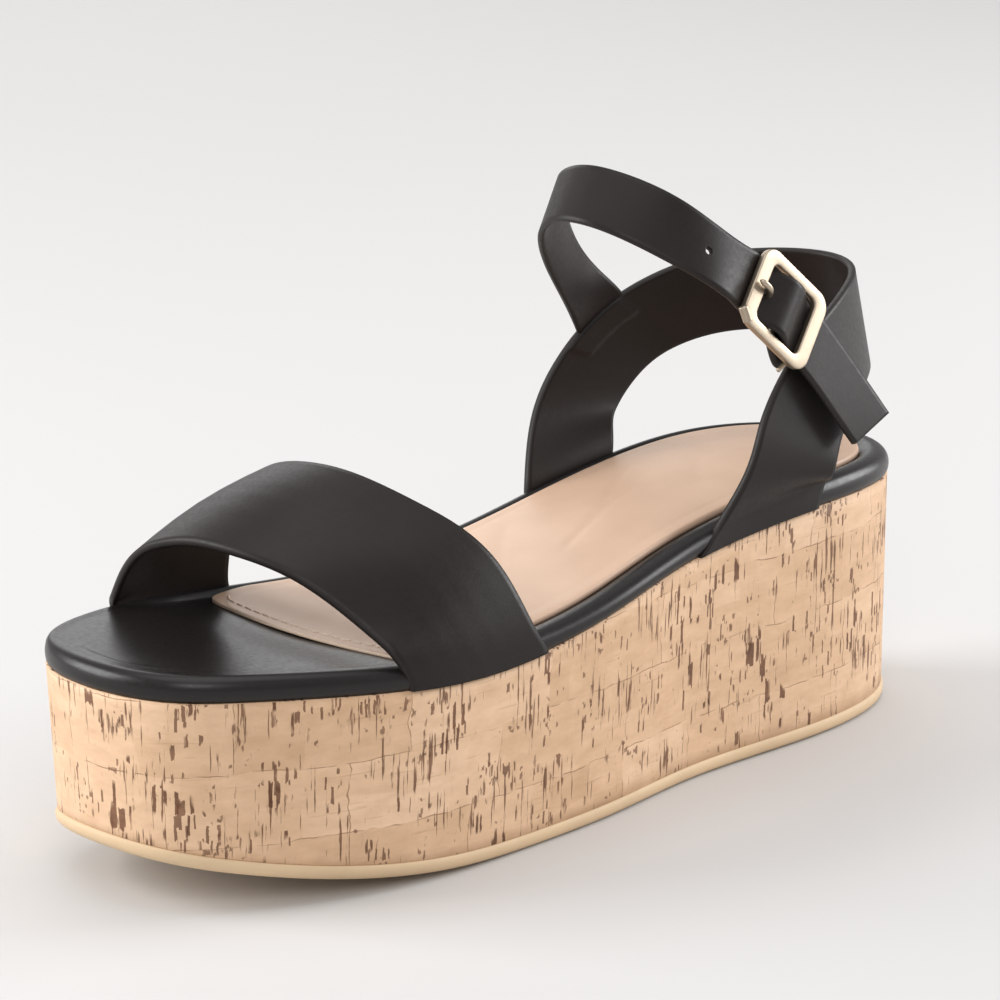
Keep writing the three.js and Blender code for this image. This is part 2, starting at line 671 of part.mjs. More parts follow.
function geometryOf(body) {
  const mesh = body.simplify(weldSize).getMesh();
  const geometry = new THREE.BufferGeometry();
  geometry.setAttribute('position', new THREE.BufferAttribute(new Float32Array(mesh.vertProperties), 3));
  geometry.setIndex(new THREE.BufferAttribute(new Uint32Array(mesh.triVerts), 1));
  geometry.computeVertexNormals();
  return geometry;
}

// A rod on the centre bar's axis, and a ring round the bar.
const rodSides = 16;
function rodAlongBar(radius, length) {
  const geometry = new THREE.CylinderGeometry(radius, radius, length, rodSides);
  return solid(geometry.translate(0, 0, -centreBarDrop).applyMatrix4(buckleFrame));
}

const eyeRing = (width, outerRadius) => rodAlongBar(outerRadius, width)
  .subtract(rodAlongBar(eyeInner, width + cutReach));

function roundedRectangle(path, length, width, radius) {
  const x = length / 2;
  const y = width / 2;
  path.moveTo(-x + radius, -y);
  path.lineTo(x - radius, -y);
  path.absarc(x - radius, -y + radius, radius, -Math.PI / 2, 0, false);
  path.absarc(x - radius, y - radius, radius, 0, Math.PI / 2, false);
  path.absarc(-x + radius, y - radius, radius, Math.PI / 2, Math.PI, false);
  path.absarc(-x + radius, -y + radius, radius, Math.PI, 1.5 * Math.PI, false);
  path.closePath();
  return path;
}

const buckleInnerWidth = ankleStrapWidth + 2 * clearance;
const buckleWidth = buckleInnerWidth + 2 * sideBarWidth;

function buckleGeometry() {
  const bevel = buckleBevel;
  const shape = new THREE.Shape();
  const opening = new THREE.Path();
  roundedRectangle(shape, buckleLength - 2 * bevel, buckleWidth - 2 * bevel, buckleCorner);
  roundedRectangle(opening, buckleInnerLength + 2 * bevel, buckleInnerWidth + 2 * bevel, buckleInnerCorner);
  shape.holes.push(opening);
  const frame = new THREE.ExtrudeGeometry(shape, {
    depth: buckleThickness - 2 * bevel,
    bevelEnabled: true,
    bevelThickness: bevel,
    bevelSize: bevel,
    bevelSegments: 2,
    curveSegments: 6,
  });
  frame.translate(0, 0, -buckleThickness / 2 + bevel).applyMatrix4(buckleFrame);
  return geometryOf(solid(frame).add(rodAlongBar(centreBarRadius, buckleInnerWidth + sideBarWidth)));
}

// The prong turns on the centre bar, comes up through the strap's hole and rests on the front bar.
const prongTop = buckleThickness / 2 + clearance + prongRadius;
const prongLine = [
  [0, -centreBarDrop - eyeInner + prongSink],
  [-prongKnee, -centreBarDrop - eyeInner - prongSink],
  [-prongRise, -prongRiseDrop],
  [-barNear, prongTop],
  [-barFar + prongTipBack, prongTop - prongTipDrop],
];

function prongBody() {
  const line = prongLine.map(([u, n]) => inBuckle(u, 0, n));
  const curve = new THREE.CatmullRomCurve3(line, false, 'centripetal');
  const section = new THREE.Shape();
  section.absarc(0, 0, prongRadius, 0, 2 * Math.PI, false);
  const tube = new THREE.ExtrudeGeometry(section, { extrudePath: curve, steps: 18, curveSegments: 5 });
  const ringBody = rodAlongBar(eyeInner + prongEyeWall, prongEyeWidth);
  return solid(tube).add(ringBody).subtract(rodAlongBar(eyeInner, prongEyeWidth + cutReach));
}

// A hole through the strap for the prong, and the slot in the tab that the prong's eye turns in.
function prongWay() {
  const depth = 2 * (ankleStrapThickness + cutReach);
  const hole = new THREE.BoxGeometry(prongHoleLength, 2 * (prongRadius + clearance), depth);
  return solid(hole.translate(-prongHolePlace, 0, 0).applyMatrix4(buckleFrame));
}

function eyeSlot() {
  const length = 2 * eyeOuter + eyeSlotSpare;
  const slot = new THREE.BoxGeometry(length, prongEyeWidth + 2 * clearance, 2 * eyeOuter + cutReach);
  return solid(slot.translate(-eyeSlotPlace, 0, -centreBarDrop).applyMatrix4(buckleFrame));
}

function ankleUpperGeometry() {
  const bandBody = solid(strapGeometry(band, bandThickness, 46, 4));
  const strap = solid(strapGeometry(ankleSurface(), ankleStrapThickness, 54, 3)).subtract(prongWay());
  const tab = solid(strapGeometry(tabSurface(), 2 * tabThickness, 10, 3));
  const barWay = rodAlongBar(eyeInner, ankleStrapWidth + cutReach);
  const tabEye = eyeRing(ankleStrapWidth - clearance, eyeOuter);
  const tabBody = tab.add(tabEye).subtract(eyeSlot()).subtract(barWay);
  return geometryOf(bandBody.add(strap).add(tabBody));
}

// The footbed is let in where the straps' feet go down outside it.
const toeStrap = toeStrapSurface();
function footbedGeometryWithFeet() {
  const toeWay = solid(strapGeometry(toeStrap, toeStrapThickness, 60, 6, clearance));
  const bandWay = solid(strapGeometry(band, bandThickness, 80, 6, clearance));
  return geometryOf(solid(footbedGeometry()).subtract(toeWay).subtract(bandWay));
}

// Colours
const leather = new THREE.MeshStandardMaterial({ color: 0x2b2928, roughness: 0.5, metalness: 0 });
const sock = new THREE.MeshStandardMaterial({ color: 0xdabba2, roughness: 0.6, metalness: 0 });
const cork = new THREE.MeshStandardMaterial({ color: 0xd9b48b, roughness: 0.8, metalness: 0 });
const rubber = new THREE.MeshStandardMaterial({ color: 0xcbb08b, roughness: 0.7, metalness: 0 });
const gold = new THREE.MeshStandardMaterial({ color: 0xe3cba6, roughness: 0.25, metalness: 1 });

const sandal = new THREE.Group();
function addPiece(name, geometry, material) {
  const mesh = new THREE.Mesh(geometry, material);
  mesh.name = name;
  sandal.add(mesh);
}

addPiece('outsole', outsoleGeometry(), rubber);
addPiece('platform', platformGeometry(), cork);
addPiece('footbed', footbedGeometryWithFeet(), leather);
addPiece('insole', insoleGeometry(), sock);
addPiece('toe_strap', strapGeometry(toeStrap, toeStrapThickness, 40, 6), leather);
addPiece('heel_and_ankle_strap', ankleUpperGeometry(), leather);
addPiece('buckle', buckleGeometry(), gold);
addPiece('buckle_prong', geometryOf(prongBody()), gold);

export default sandal;
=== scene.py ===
import math

import bmesh
import bpy
import numpy as np
from mathutils import Matrix, Vector


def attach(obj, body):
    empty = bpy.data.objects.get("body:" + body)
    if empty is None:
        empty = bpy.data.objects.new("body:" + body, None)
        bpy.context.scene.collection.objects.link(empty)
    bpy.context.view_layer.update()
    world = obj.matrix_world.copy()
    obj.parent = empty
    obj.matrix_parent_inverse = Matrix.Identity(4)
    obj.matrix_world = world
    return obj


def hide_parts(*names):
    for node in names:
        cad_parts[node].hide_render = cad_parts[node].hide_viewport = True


# Left platform sandal. Lengths in the tables and shape functions are millimetres, and meshes are
# scaled to metres. +X points to the toe, +Y to the outer side, +Z up.

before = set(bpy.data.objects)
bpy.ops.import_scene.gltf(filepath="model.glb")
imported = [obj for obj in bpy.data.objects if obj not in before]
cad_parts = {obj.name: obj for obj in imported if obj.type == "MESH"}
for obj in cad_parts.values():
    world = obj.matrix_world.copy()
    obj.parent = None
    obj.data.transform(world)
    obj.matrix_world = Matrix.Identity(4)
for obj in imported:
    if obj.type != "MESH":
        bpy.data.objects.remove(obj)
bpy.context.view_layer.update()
scene = bpy.context.scene
MM = 0.001
WALL_MAP = "length_and_height"

# Sizes of the sole
SOLE_LENGTH = 248.0
BALL_WIDTH = 80.6
HEEL_WIDTH = 58.5
HEEL_HEIGHT = 58.5
TOE_SPRING = 14.0
HEEL_BEVEL = 1.0
OUTSOLE_THICKNESS = 3.6
WALL_TAPER = 1.8
HEEL_TAPER = 0.5
RIM_HEIGHT = 6.0
RIM_WIDTH = 7.0
RIM_INNER_SHARE = 0.55
RIM_OVERHANG = 0.3
FACING_RANGE = (-0.8, 0.2)
INSOLE_THICKNESS = 1.6
INSOLE_CROWN = 1.2

# Sizes of the straps
TOE_STRAP_THICKNESS = 1.9
TOE_STRAP_RISE = 42.0
TOE_STRAP_CROWN = 1.6
BAND_THICKNESS = 1.9
BAND_RISE = 54.5
ANKLE_STRAP_THICKNESS = 1.5
ANKLE_STRAP_WIDTH = 15.6
ANKLE_STRAP_RISE = 89.0
FOOT_PROUD = 0.7

# Sizes of the buckle
BUCKLE_LENGTH = 25.0
BUCKLE_INNER_LENGTH = 16.8
SIDE_BAR_WIDTH = 2.6
BUCKLE_THICKNESS = 1.8
BUCKLE_CORNER = 4.2
BUCKLE_INNER_CORNER = 2.0
BUCKLE_BEVEL = 0.42
WIDE_BAR = 0.25
CENTRE_BAR_RADIUS = 0.75
CENTRE_BAR_DROP = 1.3
TAB_THICKNESS = 0.9
TAB_SHIFT = 3.0
PRONG_RADIUS = 0.8
PRONG_EYE_WIDTH = 2.6
CLEARANCE = 0.3

# Places along the sole, as shares of its length, and the insole's front
SPRING_START = 0.6
BEVEL_END = 0.08
WAIST = (0.3, 0.6)
TAPER_RANGE = (0.04, 0.4)
INSOLE_FRONT_OUTER = 0.742
INSOLE_FRONT_INNER = 0.755
INSOLE_BOW = 3.0
INSOLE_CORNER = 7.0

# Tables. OUTLINE_ROWS: place along the sole, half widths outer and inner. TOP_ROWS, RIM_RISE_ROWS:
# place along, share of the height. RIM_ROWS: the rim's section, out and up. Feet: where the front and
# rear edges stand at FOOT_HEIGHTS of the rim. TOE_STRAP_ROWS, BAND_ROWS: along, out and rise of the
# front edge, then of the rear edge. ANKLE_ROWS, TAIL_ROWS, BUCKLE_AIM: along, out and rise of the
# middle, then where the strap's width leans. Seams: from and to along the band, and across it.
FOOT_HEIGHTS = (0, 0.5, 1)
OUTLINE_ROWS = [
    (0.03, 0.277, 0.291), (0.10, 0.444, 0.451), (0.22, 0.523, 0.480), (0.36, 0.538, 0.426),
    (0.50, 0.520, 0.350), (0.62, 0.516, 0.412), (0.72, 0.527, 0.471), (0.82, 0.479, 0.467),
    (0.91, 0.373, 0.411), (0.97, 0.248, 0.312),
]
TOP_ROWS = [
    (0.00, 0.978), (0.20, 1.003), (0.35, 0.955), (0.45, 0.892),
    (0.55, 0.820), (0.65, 0.782), (0.85, 0.826), (1.00, 0.860),
]
RIM_RISE_ROWS = [
    (0.00, 1.00), (0.22, 0.98), (0.42, 0.78),
    (0.62, 0.84), (0.84, 0.97), (1.00, 1.00),
]
RIM_ROWS = [
    (-0.07, 0.00), (0.00, 0.12), (0.06, 0.40), (0.02, 0.68),
    (-0.12, 0.90), (-0.36, 1.00), (-0.66, 0.96), (-1.00, 0.72),
]
TOE_STRAP_OUTER_FOOT = [(0.765, 0.594), (0.769, 0.599), (0.775, 0.606)]
TOE_STRAP_INNER_FOOT = [(0.856, 0.704), (0.857, 0.708), (0.859, 0.713)]
TOE_STRAP_ROWS = [
    (0.791, 0.86, 0.31, 0.634, 0.90, 0.52),
    (0.829, 0.50, 0.57, 0.676, 0.50, 0.85),
    (0.851, 0.17, 0.65, 0.702, 0.17, 0.97),
    (0.860, -0.16, 0.648, 0.714, -0.15, 0.985),
    (0.863, -0.36, 0.605, 0.717, -0.42, 0.930),
    (0.865, -0.56, 0.525, 0.718, -0.66, 0.790),
    (0.866, -0.74, 0.350, 0.717, -0.84, 0.570),
    (0.863, -0.855, 0.190, 0.713, -0.92, 0.340),
]
BAND_INNER_FOOT = [(0.370, 0.250), (0.370, 0.248), (0.370, 0.246)]
BAND_OUTER_FOOT = [(0.363, 0.190), (0.349, 0.185), (0.336, 0.180)]
BAND_ROWS = [
    (0.337, -0.545, 0.339, 0.220, -0.565, 0.275),
    (0.298, -0.573, 0.569, 0.188, -0.585, 0.404),
    (0.257, -0.559, 0.734, 0.156, -0.566, 0.495),
    (0.210, -0.513, 0.859, 0.121, -0.515, 0.552),
    (0.159, -0.441, 0.943, 0.087, -0.439, 0.580),
    (0.113, -0.342, 0.985, 0.054, -0.337, 0.583),
    (0.071, -0.180, 1.000, 0.032, -0.170, 0.570),
    (0.054, 0.030, 1.002, 0.025, 0.030, 0.545),
    (0.074, 0.220, 0.990, 0.047, 0.210, 0.528),
    (0.112, 0.345, 0.965, 0.077, 0.325, 0.510),
    (0.160, 0.445, 0.916, 0.108, 0.420, 0.485),
    (0.211, 0.520, 0.836, 0.135, 0.500, 0.448),
    (0.256, 0.565, 0.698, 0.165, 0.555, 0.389),
    (0.290, 0.600, 0.528, 0.183, 0.592, 0.310),
    (0.312, 0.600, 0.302, 0.191, 0.590, 0.201),
]
ANKLE_ROWS = [
    (0.272, -0.530, 0.546, -12.4, -3.5, 7.8),
    (0.350, -0.359, 0.762, -7.4, -2.0, 13.4),
    (0.401, -0.115, 0.908, -9.9, -2.7, 12.0),
    (0.409, 0.034, 0.939, -10.4, -2.0, 11.4),
    (0.404, 0.181, 0.936, -10.8, -1.6, 11.0),
    (0.365, 0.422, 0.857, -10.9, -2.9, 11.6),
    (0.312, 0.540, 0.739, -10.4, -5.0, 10.1),
]
TAIL_ROWS = [
    (0.220, 0.590, 0.502, -10.9, -4.0, 11.0),
    (0.176, 0.621, 0.343, -13.4, -3.6, 7.4),
    (0.150, 0.647, 0.242, -14.2, -2.4, 4.6),
]
STRAP_SEAM = [(0.188, 0.262, 0.28), (0.207, 0.275, 0.03)]
TAB_SEAM = [(0.812, 0.750, 0.30), (0.803, 0.740, 0.04)]
BUCKLE_PLACE = (0.2605, 0.593, 0.620)
BUCKLE_AIM = (0.205, 0.612, 0.456, -12.1, -2.4, 10.4)


# Curves and outlines
class Spline:
    """Natural cubic spline through rows of numbers at rising knots."""

    def __init__(self, knots, rows):
        self.knots = np.asarray(knots, float)
        self.rows = np.asarray(rows, float).reshape(len(self.knots), -1)
        last = len(self.knots) - 1
        gap = np.diff(self.knots)
        matrix = np.eye(last + 1)
        target = np.zeros_like(self.rows)
        for i in range(1, last):
            matrix[i, i - 1:i + 2] = gap[i - 1], 2 * (gap[i - 1] + gap[i]), gap[i]
            target[i] = 6 * ((self.rows[i + 1] - self.rows[i]) / gap[i]
                             - (self.rows[i] - self.rows[i - 1]) / gap[i - 1])
        self.bends = np.linalg.solve(matrix, target)
        self.gap = gap

    def __call__(self, at):
        at = np.atleast_1d(np.asarray(at, float))
        i = np.clip(np.searchsorted(self.knots, at, side="left") - 1, 0, len(self.gap) - 1)
        gap = self.gap[i]
        a = ((self.knots[i + 1] - at) / gap)[:, None]
        b = 1 - a
        curve = (gap * gap / 6)[:, None]
        return (a * self.rows[i] + b * self.rows[i + 1]
                + curve * ((a ** 3 - a) * self.bends[i] + (b ** 3 - b) * self.bends[i + 1]))


def travelled(points):
    points = np.asarray(points, float)
    steps = np.linalg.norm(np.diff(points, axis=0), axis=1)
    return np.concatenate([[0], np.cumsum(steps)])


def smoothstep(value, low, high):
    share = np.clip((np.asarray(value, float) - low) / (high - low), 0, 1)
    return share * share * (3 - 2 * share)


def unit(vectors):
    vectors = np.asarray(vectors, float)
    return vectors / np.linalg.norm(vectors, axis=-1, keepdims=True)


def mix(a, b, share):
    return a + (b - a) * share


def x_at(along):
    return (np.asarray(along, float) - 0.5) * SOLE_LENGTH


def along_at(x):
    return np.clip(np.asarray(x, float) / SOLE_LENGTH + 0.5, 0, 1)


def width_at(along):
    return mix(HEEL_WIDTH, BALL_WIDTH, smoothstep(along, *WAIST))


outer_points = [(x_at(along), outer * width_at(along)) for along, outer, _ in OUTLINE_ROWS]
inner_points = [(x_at(along), -inner * width_at(along)) for along, _, inner in OUTLINE_ROWS]
loop_points = [(x_at(0), 0), *outer_points, (x_at(1), 0), *inner_points[::-1]]
WRAP = 3
TANGENT_STEP = 0.05
wrapped = loop_points[-WRAP:] + loop_points + loop_points[:WRAP + 1]
loop_knots = travelled(wrapped)
loop_spline = Spline(loop_knots, wrapped)
heel_knot = loop_knots[WRAP]
toe_knot = loop_knots[WRAP + 1 + len(outer_points)]
heel_end_knot = loop_knots[WRAP + len(loop_points)]


def outline(side, share):
    """Points of the outline and their outward normals. side is 1 outer, -1 inner."""
    start = heel_knot if side > 0 else heel_end_knot
    knot = mix(start, toe_knot, np.atleast_1d(np.asarray(share, float)))
    point = loop_spline(knot)
    tangent = loop_spline(knot + TANGENT_STEP) - loop_spline(knot - TANGENT_STEP)
    return point, unit(np.stack([-tangent[:, 1], tangent[:, 0]], axis=1))


def inset(side, share, offset):
    """Points at an offset from the outline, smaller where the outline faces the inner side."""
    point, normal = outline(side, share)
    scale = mix(RIM_INNER_SHARE, 1.0, smoothstep(normal[:, 1], *FACING_RANGE))
    return point + normal * (offset * scale)[:, None]


EDGE_SAMPLES = 4001
edge_shares = np.linspace(0, 1, EDGE_SAMPLES)
edge_x = {side: outline(side, edge_shares)[0][:, 0] for side in (1, -1)}


def share_for(side, along):
    return np.interp(x_at(along), edge_x[side], edge_shares)


def edge_point(side, along, offset):
    point, normal = outline(side, share_for(side, along))
    return point + normal * offset


top_spline = Spline(*zip(*TOP_ROWS))
rim_spline = Spline(*zip(*RIM_RISE_ROWS))


def top_height(x):
    return top_spline(along_at(x))[:, 0] * HEEL_HEIGHT


def rim_height(x):
    return rim_spline(along_at(x))[:, 0] * RIM_HEIGHT


def underside(x):
    spring = np.maximum(0, (along_at(x) - SPRING_START) / (1 - SPRING_START))
    bevel = np.maximum(0, (BEVEL_END - along_at(x)) / BEVEL_END)
    return TOE_SPRING * spring * spring + HEEL_BEVEL * bevel * bevel


# Mesh building. A ring has HALF steps on each side.
HALF = 120
COUNT = 2 * HALF


def loop_of(points_at):
    """A closed ring of plan points: outer side heel to toe, then inner side back."""
    shares = np.linspace(0, 1, HALF + 1)
    outer = points_at(1, shares)
    inner = points_at(-1, shares[1:-1])[::-1]
    return np.concatenate([outer, inner])


def raised(plan, height):
    return np.column_stack([plan, height])


def wall_ring(share, lip, height_at):
    """A ring of the wall, drawn in by a share of its taper and out by lip."""
    def points_at(side, shares):
        point, normal = outline(side, shares)
        along = along_at(point[:, 0])
        taper = mix(HEEL_TAPER, WALL_TAPER, smoothstep(along, *TAPER_RANGE))
        return point + normal * (lip - share * taper)[:, None]
    plan = loop_of(points_at)
    return raised(plan, height_at(plan[:, 0]))


def rim_ring(offset, height_at):
    plan = loop_of(lambda side, shares: inset(side, shares, offset))
    return raised(plan, height_at(plan[:, 0]))


def ring_faces(rings, count, closed=False):
    """Faces from each ring of count points to the next, and where closed from the last to the first."""
    faces = []
    for level in range(rings - 1 + closed):
        near, far = level * count, (level + 1) % rings * count
        for i in range(count):
            j = (i + 1) % count
            faces.append((near + i, far + i, far + j, near + j))
    return faces


def level_lift(x, y, share):
    return 0 * x


def stacked(rings, bottom_steps=1, top_steps=1, lift=level_lift):
    """Points and faces of a body of rings, with a count of the side faces, which come first. A cap
    is a grid from the outer half of its ring to the inner half."""
    count = len(rings[0])
    half = count // 2
    points = [np.asarray(ring) for ring in rings]
    faces = ring_faces(len(rings), count)
    side_faces = len(faces)
    total = len(rings) * count
    ends = ((0, bottom_steps, level_lift, True), ((len(rings) - 1) * count, top_steps, lift, False))
    for start, steps, added, turn in ends:
        ring = rings[start // count]
        shares = np.arange(1, steps) / steps
        grid = []
        for i in range(1, half):
            row = ring[i] + (ring[count - i] - ring[i]) * shares[:, None]
            row[:, 2] += added(row[:, 0], row[:, 1], shares)
            points.append(row)
            grid.append([start + i, *range(total, total + len(row)), start + count - i])
            total += len(row)

        def add(*corners):
            faces.append(corners[::-1] if turn else corners)
        for step in range(steps):
            add(start, grid[0][step + 1], grid[0][step])
            add(start + half, grid[-1][step], grid[-1][step + 1])
        for row, following in zip(grid, grid[1:]):
            for step in range(steps):
                add(row[step], row[step + 1], following[step + 1], following[step])
    return np.concatenate(points), faces, side_faces


def new_object(name, data):
    made = bpy.data.objects.new(name, data)
    scene.collection.objects.link(made)
    return made


def mesh_object(name, points, faces, materials, indices=None):
    mesh = bpy.data.meshes.new(name)
    mesh.from_pydata((np.asarray(points) * MM).tolist(), [], faces)
    piece = new_object(name, mesh)
    for material in materials:
        mesh.materials.append(material)
    if indices is not None:
        mesh.polygons.foreach_set("material_index", np.asarray(indices, np.int32))
    mesh.polygons.foreach_set("use_smooth", [True] * len(mesh.polygons))
    editing = bmesh.new()
    editing.from_mesh(mesh)
    bmesh.ops.recalc_face_normals(editing, faces=editing.faces)
    editing.to_mesh(mesh)
    editing.free()
    return piece


def add_piece(piece, slot, *nodes):
    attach(piece, "root")
    if nodes:
        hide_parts(*nodes)
    return piece


# Materials
def new_material(name):
    material = bpy.data.materials.new(name)
    material.use_nodes = True
    tree = material.node_tree
    return material, tree, next(made for made in tree.nodes if made.type == "BSDF_PRINCIPLED")


def feed(tree, socket, value):
    """Links a socket to another one, or gives it a number, a vector or a colour."""
    if isinstance(value, bpy.types.NodeSocket):
        tree.links.new(value, socket)
    elif socket.type == "RGBA":
        socket.default_value = (*value, 1)
    else:
        socket.default_value = value


def set_values(tree, made, **values):
    """Sets a node's inputs, written with _ for a space, and its other settings."""
    for key, value in values.items():
        socket = made.inputs.get(key.replace("_", " "))
        if socket is None:
            setattr(made, key, value)
        else:
            feed(tree, socket, value)


def node(tree, kind, **values):
    made = tree.nodes.new(kind)
    set_values(tree, made, **values)
    return made


def object_place(tree):
    return node(tree, "ShaderNodeTexCoord").outputs["Object"]


def ramp(tree, source, stops):
    """A colour ramp from (place, grey or colour) stops."""
    made = node(tree, "ShaderNodeValToRGB", Fac=source)
    elements = made.color_ramp.elements
    while len(elements) < len(stops):
        elements.new(0.5)
    for element, (place, value) in zip(elements, stops):
        element.position = place
        colour = value if isinstance(value, tuple) else (value, value, value)
        element.color = (*colour, 1)
    return made.outputs["Color"]


def blended(tree, factor, first, second, mode="MIX"):
    made = node(tree, "ShaderNodeMix", data_type="RGBA", blend_type=mode)
    for place, value in ((0, factor), (6, first), (7, second)):
        feed(tree, made.inputs[place], value)
    return made.outputs[2]


def maths(tree, operation, *values, kind="ShaderNodeMath"):
    made = node(tree, kind, operation=operation)
    for socket, value in zip(made.inputs, values):
        feed(tree, socket, value)
    return made.outputs[0]


def mapped(tree, source, scale, place=(0, 0, 0)):
    return node(tree, "ShaderNodeMapping", Vector=source, Scale=scale, Location=place).outputs["Vector"]


def noise(tree, vector, scale, detail=4.0, roughness=0.5, output="Fac"):
    made = node(tree, "ShaderNodeTexNoise", Vector=vector, Scale=scale, Detail=detail, Roughness=roughness)
    return made.outputs[output]


def bump(tree, shader, heights):
    """Bump from (height socket, distance in metres, strength) in a chain."""
    previous = None
    for height, distance, strength in heights:
        made = node(tree, "ShaderNodeBump", Height=height, Distance=distance, Strength=strength)
        if previous is not None:
            feed(tree, made.inputs["Normal"], previous)
        previous = made.outputs["Normal"]
    set_values(tree, shader, Normal=previous)


def leather_material(name, colour, shade, roughness, grain=0.00003, specular=0.5, soft=0.0005):
    """Two close tones with fine and broad relief, whose depths in metres are grain and soft."""
    material, tree, shader = new_material(name)
    place = object_place(tree)
    broad = noise(tree, place, 45, 3)
    fine = noise(tree, place, 900, 3)
    cells = node(tree, "ShaderNodeTexVoronoi", Vector=place, Scale=1500.0).outputs["Distance"]
    set_values(
        tree, shader, Specular_IOR_Level=specular,
        Base_Color=ramp(tree, broad, [(0.3, colour), (0.7, shade)]),
        Roughness=ramp(tree, fine, [(0.25, roughness - 0.05), (0.75, roughness + 0.07)]),
    )
    bump(tree, shader, [(broad, soft, 0.10), (cells, grain, 0.30), (fine, grain, 0.16)])
    return material


black_leather = leather_material(
    "black_leather", (0.0125, 0.0092, 0.0082), (0.0155, 0.0118, 0.0106), 0.41, specular=0.24)
lining_leather = leather_material(
    "lining_leather", (0.0150, 0.0102, 0.0086), (0.0195, 0.0138, 0.0118), 0.50, specular=0.22)
rim_leather = leather_material(
    "rim_leather", (0.0100, 0.0080, 0.0075), (0.0118, 0.0096, 0.0090), 0.32,
    grain=0.0000005, specular=0.36, soft=0.0003)
edge_leather = leather_material(
    "edge_leather", (0.020, 0.016, 0.014), (0.014, 0.011, 0.010), 0.50, specular=0.3)
sock_leather = leather_material(
    "sock_leather", (0.700, 0.485, 0.350), (0.620, 0.418, 0.295), 0.44, grain=0.00004, soft=0.0011)
thread = leather_material("thread", (0.88, 0.72, 0.58), (0.84, 0.68, 0.54), 0.60, grain=0.000005)
# The piping is paler than the sock partly in its own tone and partly as a painted highlight on the front
# edge, whose faces turn away from the lights.
piping_and_highlight_leather = leather_material(
    "piping_and_highlight_leather", (0.82, 0.63, 0.48), (0.80, 0.60, 0.45), 0.50, grain=0.00002)


